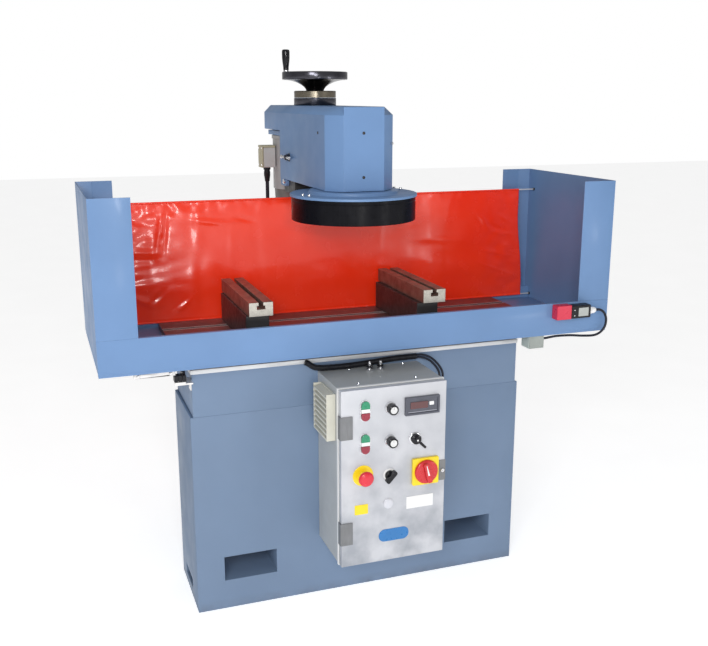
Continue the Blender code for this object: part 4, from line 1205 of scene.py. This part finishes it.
def make_cabinet():
    body = BODY["cabinet_box"]
    low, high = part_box("cabinet_box")
    left, right, front, back = low[0], high[0], low[1], high[1]
    bottom, top = low[2], 0.68
    wall = 0.002
    sides = [
        brick((left, left + wall), (front, back), (bottom, top)),
        brick((right - wall, right), (front, back), (bottom, top)),
        brick((left + wall, right - wall), (back - wall, back), (bottom, top)),
        brick((left + wall, right - wall), (front, back - wall), (bottom, bottom + wall)),
        brick((left + wall, right - wall), (front, back - wall), (top - wall, top)),
    ]
    shell = merged("cabinet_shell", sides, cabinet_grey(), body, 0.0006, 2)
    rim_depth, lip = 0.01, 0.0022
    rim = [
        brick((left - lip, left - 0.0001), (front, front + rim_depth), (bottom - lip, top + lip)),
        brick((right + 0.0001, right + lip), (front, front + rim_depth), (bottom - lip, top + lip)),
        brick((left, right), (front, front + rim_depth), (top + 0.0001, top + lip)),
        brick((left, right), (front, front + rim_depth), (bottom - lip, bottom - 0.0001)),
    ]
    merged("cabinet_rim_strip", rim, cabinet_rim(), body, 0.0006, 2)
    seal = [
        brick((left + 0.004, left + 0.01), (front - 0.0018, front + 0.003),
              (bottom + 0.004, top - 0.004)),
        brick((right - 0.01, right - 0.004), (front - 0.0018, front + 0.003),
              (bottom + 0.004, top - 0.004)),
        brick((left + 0.01, right - 0.01), (front - 0.0018, front + 0.003), (top - 0.01, top - 0.004)),
        brick((left + 0.01, right - 0.01), (front - 0.0018, front + 0.003),
              (bottom + 0.004, bottom + 0.01)),
    ]
    merged("cabinet_seal", seal, rubber(), body, 0.0008)
    fittings, rings = [], []
    for x in (-0.001, 0.031):
        spot = (x, -0.1815, top)
        fittings += [
            prism(hexagon(spot[:2], 0.0095, 0.3), (top, top + 0.006), "XY"),
            spun([(0, 0.0268), (0.0028, 0.0268), (0.0036, 0.0255), (0.0036, 0.0205), (0.005, 0.02),
                  (0.0052, 0.006), (0, 0.006)], spot, steps=28),
        ]
        rings.append(spun([(0.0053, 0.016), (0.008, 0.016), (0.0088, 0.015), (0.0088, 0.0115),
                           (0.008, 0.0105), (0.0053, 0.0105)], spot, steps=32))
    metal = merged("cabinet_fittings", fittings, bright_steel(), body, smooth=35)
    merged("cabinet_fitting_rings", rings, black_plastic(), body, smooth=35)
    for piece in (shell, metal):
        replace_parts(piece, "cabinet_box")
    screws = [flat_screw((x, y, top), (0, 0, 1), 0.0048)
              for x, y in ((-0.0703, -0.2823), (0.0964, -0.2791), (0.1142, -0.145), (-0.049, -0.145))]
    merged("cabinet_top_screws", screws, bright_steel(), body, smooth=35)
    make_vent()
    make_inside(left, right, back, bottom, top)


def make_vent():
    node = "vent_grille"
    low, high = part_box(node)
    body = BODY[node]
    count = 9
    pitch = (high[2] - low[2]) / count
    parts = [
        brick((high[0] - 0.004, high[0]), (low[1], high[1]), (low[2], high[2])),
        brick((low[0] + 0.0005, high[0] - 0.004), (low[1], low[1] + 0.003), (low[2], high[2])),
        brick((low[0] + 0.0005, high[0] - 0.004), (high[1] - 0.003, high[1]), (low[2], high[2])),
    ]
    for i in range(count):
        z = low[2] + pitch * i
        section = [(low[0], z + 0.001), (low[0] + 0.0012, z + 0.0004), (high[0] - 0.004, z + pitch * 0.62),
                   (high[0] - 0.004, z + pitch * 0.8), (low[0], z + pitch * 0.42)]
        parts.append(prism(section, (low[1] + 0.003, high[1] - 0.003)))
    merged("vent_louvres", parts, vent_beige(), body, 0.0005, 2, node=node)


def make_inside(left, right, back, bottom, top):
    """What shows inside the cabinet with its door open: a mounting plate, ducts and rows of devices."""
    body = BODY["cabinet_box"]
    face = back - 0.01
    plate = [brick((left + 0.02, right - 0.02), (face - 0.0025, face), (bottom + 0.025, top - 0.025))]
    merged("mounting_plate", plate, bright_steel(), body, 0.0005)
    ducts = [brick((left + 0.025, right - 0.025), (face - 0.034, face - 0.003), about(z, 0.014))
             for z in (bottom + 0.055, bottom + 0.25, top - 0.055)]
    merged("wiring_ducts", ducts, plastic("duct_grey", (0.5, 0.52, 0.54), 0.5, 0.0), body, 0.001)
    random.seed(4)
    devices, accents = [], []
    for z in (bottom + 0.155, top - 0.15):
        devices.append(brick((left + 0.028, right - 0.028), (face - 0.01, face - 0.003),
                             about(z, 0.0175)))
        x = left + 0.036
        while x < right - 0.07:
            width = random.choice((0.018, 0.027, 0.036, 0.045))
            depth = random.uniform(0.05, 0.075)
            height = random.choice((0.03, 0.038, 0.042))
            devices.append(brick((x, x + width - 0.001), (face - depth, face - 0.0105), about(z, height)))
            accents.append(brick((x + 0.004, x + width - 0.005),
                                 (face - depth - 0.0015, face - depth + 0.001),
                                 about(z + 0.008, 0.008)))
            x += width
    merged("panel_devices", devices, black_plastic(), body, 0.0012)
    merged("panel_device_faces", accents, white_plastic(), body, 0.0004)


def make_door():
    node = "cabinet_door"
    body = BODY[node]
    refined(node, door_grey(), 0.0014, 3)
    left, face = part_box(node)[0][:2]
    for level in ("upper", "lower"):
        hinge = f"hinge_{level}"
        h_low, h_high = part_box(hinge)
        parts = [
            prism(rounded_rectangle(((-0.14 - 0.105) / 2, (h_low[2] + h_high[2]) / 2),
                                    (0.0175, (h_high[2] - h_low[2]) / 2), 0.0018), (h_low[1], face - GAP)),
            brick((-0.14, left - GAP), (face - GAP, h_high[1]), (h_low[2], h_high[2])),
        ]
        merged(f"{hinge}_cover", parts, hinge_grey(), body, 0.0007, 2, node=hinge)
    lock = [prism(rounded_rectangle((0.156, 0.424), (0.0098, 0.03), 0.0015),
                  (face - 0.0012, face - 0.0002))]
    merged("lock_plate", lock, hinge_grey(), body, 0.0004)
    spot = (0.1555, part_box("door_lock")[1][1], 0.424)
    merged("lock_insert", [
        spun([(0, 0.0042), (0.0018, 0.0042), (0.002, 0.0058), (0.0048, 0.006), (0.0055, 0.005), (0.0055, 0),
              (0, 0)],
             spot, (0, -1, 0), 28),
        brick(about(spot[0], 0.0004), (spot[1] - 0.0054, spot[1] - 0.004), about(spot[2], 0.004)),
    ], bright_steel(), BODY["door_lock"], smooth=35, node="door_lock")
    plates = {
        "white_plate": ((0.0905, 0.341), (0.0395, 0.0175), 0.001, white_plastic()),
        "yellow_plate": ((-0.08, 0.342), (0.019, 0.014), 0.002, yellow_plastic()),
        "blue_plate": ((0.0146, 0.2545), (0.044, 0.018), 0.017,
                       plastic("plate_blue", (0.02, 0.17, 0.45), 0.3)),
    }
    for name, (middle, half, radius, look) in plates.items():
        merged(name, [prism(rounded_rectangle(middle, half, radius, 8), (face - 0.001, face - 0.0001))],
               look, body, 0.0002)
    cap = spun([(0, 0.0042), (0.009, 0.004), (0.0125, 0.003), (0.0145, 0.0012), (0.0145, 0), (0, 0)],
               (-0.002, face - 0.0001, 0.348), (0, -1, 0), 40)
    merged("blanking_plug", [cap], plastic("plug_grey", (0.6, 0.61, 0.66), 0.35), body, smooth=30)
    make_meter()
    for level, z in (("upper", 0.621), ("lower", 0.529)):
        make_start_stop(level, -0.07, z, face)
        make_speed_knob(level, 0.0005, z + 0.002, face)
    make_selectors(face)
    make_stop_and_main(face)


def make_meter():
    node = "panel_meter"
    body = BODY[node]
    low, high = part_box(node)
    middle = ((low[0] + high[0]) / 2, (low[2] + high[2]) / 2)
    front, back = low[1], high[1]
    edge = 0.0055
    frame_parts = [
        brick((low[0], high[0]), (front, back), (high[2] - edge, high[2])),
        brick((low[0], high[0]), (front, back), (low[2], low[2] + edge)),
        brick((low[0], low[0] + edge), (front, back), (low[2] + edge, high[2] - edge)),
        brick((high[0] - edge, high[0]), (front, back), (low[2] + edge, high[2] - edge)),
        brick((low[0] + edge, high[0] - edge), (front + 0.003, back), (low[2] + edge, high[2] - edge)),
    ]
    merged("meter_bezel", frame_parts, surface("meter_dark", (0.085, 0.09, 0.115), 0.4,
                                               mottle=(50.0, 0.1), grain=(700.0, 0.15, 0.0002)),
           body, 0.0007, 2, node=node)
    merged("meter_window",
           [prism(rounded_rectangle((middle[0] - 0.01, middle[1] + 0.002), (0.0255, 0.0095), 0.001),
                                  (front + 0.001, front + 0.003))], display_glass(), body, 0.0003)
    merged("meter_button",
           [prism(rounded_rectangle((middle[0] + 0.0255, middle[1] + 0.0045), (0.0065, 0.005), 0.0012),
                                  (front + 0.0002, front + 0.003))], white_plastic(), body, 0.0005)
    merged("meter_rail", [brick((low[0] + 0.008, high[0] - 0.008), (front + 0.0018, front + 0.003),
                                (low[2] + 0.0075, low[2] + 0.0095))],
           plastic("meter_rail", (0.34, 0.35, 0.4), 0.4), body, 0.0003)


def half_button(middle, half_width, inner, outer):
    """A button's outline: flat across the middle of its housing and round at the far end."""
    x, z = middle
    side = math.copysign(1, outer)
    centre = z + outer - side * half_width
    start = 0.0 if side > 0 else math.pi
    rounded = arc((x, centre), half_width, start, start + math.pi, 16)
    flat = [(x - side * half_width, z + inner), (x + side * half_width, z + inner)]
    return rounded + flat


def ring_prism(outer, inner, depths):
    """A flat ring along Y between two outlines of (x, z) points that run side by side."""
    ring = bmesh.new()
    loops = [[ring.verts.new((x, y, z)) for x, z in outline] for y in depths for outline in (outer, inner)]
    front_out, front_in, back_out, back_in = loops
    for first, second in ((front_out, front_in), (front_in, back_in), (back_in, back_out),
                          (back_out, front_out)):
        for i in range(len(first)):
            k = (i + 1) % len(first)
            ring.faces.new((first[i], first[k], second[k], second[i]))
    bmesh.ops.recalc_face_normals(ring, faces=ring.faces)
    return ring


def make_start_stop(level, x, z, face):
    node = f"start_stop_{level}"
    body = BODY[node]
    base = face - GAP
    half_w, half_h = 0.015, 0.03

    def stadium(inset):
        radius = half_w - inset
        upper = arc((x, z + half_h - half_w), radius, 0, math.pi, 18)
        return upper + arc((x, z - half_h + half_w), radius, math.pi, 2 * math.pi, 18)

    bezel = merged(f"{node}_bezel", [
        ring_prism(stadium(0.0), stadium(0.0024), (base - 0.0022, base - 0.0006)),
        prism(stadium(0.0), (base - 0.0006, base)),
    ],
                   surface("bezel_silver", (0.72, 0.73, 0.76), 0.25, metallic=0.6, mottle=(40.0, 0.05)),
                   body, 0.0009, 3)
    band = merged(f"{node}_band",
                  [brick(about(x, 0.0118), (base - 0.0052, base - 0.0023), about(z, 0.0052))],
                  white_plastic(), body, 0.0006, 2)
    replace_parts(bezel, node)
    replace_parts(band, node)
    for colour, side, look, slot in (("green", 1, green_plastic(), "signal_green"),
                                     ("red", -1, dark_red_plastic(), "signal_red")):
        button = f"{colour}_button_{level}"
        outline = half_button((x, z), 0.012, side * 0.0057, side * 0.0272)
        merged(f"{button}_cap", [prism(outline, (base - 0.0068, base - 0.0038))], look,
               BODY[button],
               0.0008, 3, node=button)


def knurled(radius, height, place, teeth=24, depth=0.0006, start=0.0):
    """A ribbed cylinder whose axis is -Y."""
    outline = []
    for i in range(teeth * 4):
        a = 2 * math.pi * i / (teeth * 4)
        r = radius - depth * (1 if i % 4 in (0, 1) else 0)
        outline.append((place[0] + r * math.cos(a), place[2] + r * math.sin(a)))
    return prism(outline, (place[1] - height, place[1] - start))


def make_speed_knob(level, x, z, face):
    node = f"speed_knob_{level}"
    base = face - GAP
    spot = (x, base, z)
    ring = spun([(0.009, 0.0085), (0.0135, 0.0082), (0.0152, 0.0066), (0.0162, 0.003), (0.0162, 0.0001),
                 (0.009, 0.0001)],
                spot, (0, -1, 0), 48)
    merged(f"{node}_ring", [ring], bright_steel(), BODY["cabinet_door"], smooth=30)
    merged(f"{node}_cap", [
        knurled(0.0139, 0.026, spot, 34, 0.0005, 0.0088),
        spun([(0.0095, 0.029), (0.0118, 0.029), (0.0134, 0.028), (0.0137, 0.0258), (0.0095, 0.0258)],
             spot, (0, -1, 0), 48),
    ], glossy_black(), BODY[node], smooth=25, node=node)
    merged(f"{node}_face",
           [spun([(0, 0.0287), (0.01, 0.0287), (0.0105, 0.0281), (0.0105, 0.0262), (0, 0.0262)],
                                 spot, (0, -1, 0), 40)],
           surface("knob_silver", (0.74, 0.74, 0.74), 0.22, metallic=0.7, mottle=(60.0, 0.06)), BODY[node],
           smooth=30)
    merged(f"{node}_mark",
           [brick((x - 0.0004, x + 0.0004), (base - 0.029, base - 0.0284), (z + 0.002, z + 0.0088))],
           riser_black(), BODY[node])


def handled(name, node, place, hub, handle, reach, tilt, look):
    """A selector: a turned hub under a shaped handle that tilt turns clockwise from +X."""
    radius, height = hub
    width, thick = handle
    parts = [spun([(0, height), (radius * 0.86, height), (radius, height - 0.0012), (radius, 0), (0, 0)],
                  place, (0, -1, 0), 40)]
    outline = rounded_rectangle(((reach[0] + reach[1]) / 2, 0), ((reach[1] - reach[0]) / 2, width / 2),
                                width * 0.42, 5)
    bar = prism(outline, (-height - thick + 0.001, -height + 0.001))
    parts.append(turned(bar, tilt, "Y", place))
    piece = merged(name, parts, look, BODY[node], 0.0008, 3)
    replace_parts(piece, node)
    return piece


def make_selectors(face):
    base = face - GAP
    for node, x, z in (("mode_lever", 0.0735, 0.527), ("selector_knob", 0.0, 0.432)):
        ring = spun([(0.0125, 0.0027), (0.0155, 0.0026), (0.0172, 0.0016), (0.0175, 0.0001),
                     (0.0125, 0.0001)],
                    (x, face - 0.0001, z), (0, -1, 0), 48)
        look = white_plastic() if node == "selector_knob" else bright_steel()
        merged(f"{node}_ring", [ring], look, BODY["cabinet_door"], smooth=30)
    handled("mode_lever_black", "mode_lever", (0.0735, base - 0.003, 0.527), (0.014, 0.011),
            (0.0072, 0.007), (-0.008, 0.034), 45, glossy_black())
    merged("mode_lever_dot", [spun([(0, 0.0008), (0.0022, 0.0006), (0.0026, 0.0), (0, 0.0)],
                                   (0.0735, base - 0.0202, 0.527), (0, -1, 0), 20)],
           white_plastic(), BODY["mode_lever"], smooth=30)
    handled("selector_knob_black", "selector_knob", (0.0, base - 0.003, 0.432), (0.014, 0.007),
            (0.0125, 0.0135), (-0.0205, 0.019), -47, glossy_black())


def make_stop_and_main(face):
    base = face - GAP
    node = "estop_button"
    spot = (-0.0755, base, 0.4395)
    merged("stop_plate",
           [spun([(0.0112, 0.0016), (0.028, 0.0016), (0.029, 0.0008), (0.029, 0.0001), (0.0112, 0.0001)],
                               (spot[0], face, spot[2]), (0, -1, 0), 56)], yellow_plastic(),
           BODY["cabinet_door"], smooth=30)
    merged("stop_collar", [spun([(0.0112, 0.0085), (0.0125, 0.0085), (0.014, 0.007), (0.014, 0.0017),
                                 (0.0112, 0.0017)], (spot[0], face, spot[2]), (0, -1, 0), 40)],
           yellow_plastic(), BODY["cabinet_door"], smooth=30)
    mushroom = [(0, 0.0338), (0.008, 0.0335), (0.014, 0.0325), (0.0185, 0.0306), (0.0205, 0.028),
                (0.021, 0.025), (0.02, 0.022), (0.017, 0.0205), (0.0108, 0.0195), (0.0108, 0.0055),
                (0, 0.0055)]
    merged("stop_mushroom", [spun(mushroom, spot, (0, -1, 0), 56)],
           plastic("stop_red", (0.66, 0.02, 0.04), 0.25), BODY[node], smooth=40,
           node=node)
    node = "main_switch_plate"
    low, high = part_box(node)
    middle = ((low[0] + high[0]) / 2, (low[2] + high[2]) / 2)
    half = (high[0] - low[0]) / 2
    merged("main_plate_yellow",
           [prism(rounded_rectangle(middle, (half, half), 0.004), (low[1], high[1]))],
           yellow_plastic(), BODY[node], 0.0012, 3, node=node)
    node = "main_switch_knob"
    place = (middle[0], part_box(node)[1][1], middle[1])
    hub = spun([(0, 0.0085), (0.029, 0.0085), (0.0322, 0.0072), (0.0335, 0.005), (0.0335, 0), (0, 0)],
               place, (0, -1, 0), 72)
    bar = prism(rounded_rectangle((0, 0), (0.0072, 0.0285), 0.005, 6), (-0.019, -0.008))
    turned(bar, MAIN_SWITCH_TILT, "Y", place)
    merged("main_switch_red", [hub, bar], red_plastic(), BODY[node], 0.001, 3, node=node)
    line = prism([(-0.0008, 0.024), (0.0008, 0.024), (0.0026, -0.006), (-0.0026, -0.006)],
                 (-0.0194, -0.0186))
    turned(line, MAIN_SWITCH_TILT, "Y", place)
    merged("main_switch_line", [line], white_plastic(), BODY[node])


def finish_frame_nodes():
    """A finish for every CAD node that still shows itself."""
    looks = {
        "table_gearmotor": motor_grey(),
        "table_screw": ground_steel(),
        "feed_screw": ground_steel(),
        "spindle": ground_steel(),
        "motor_pulley": ground_steel(),
        "grinding_wheel": abrasive(),
        "drive_belt": rubber(),
        "curtain_wire_top": bright_edge(),
        "curtain_wire_bottom": bright_edge(),
        "limit_roller": riser_black(),
    }
    for node, obj in frame["nodes"].items():
        if obj.hide_render:
            continue
        look = looks[node]
        for material_slot in obj.material_slots:
            material_slot.material = look


make_camera()
make_cords()
make_base()
make_column()
make_table()
make_supports()
make_curtain()
make_switches()
make_head()
make_clamp_lever()
make_handwheel()
make_motor()
make_cabinet()
make_door()
finish_frame_nodes()
make_stage()
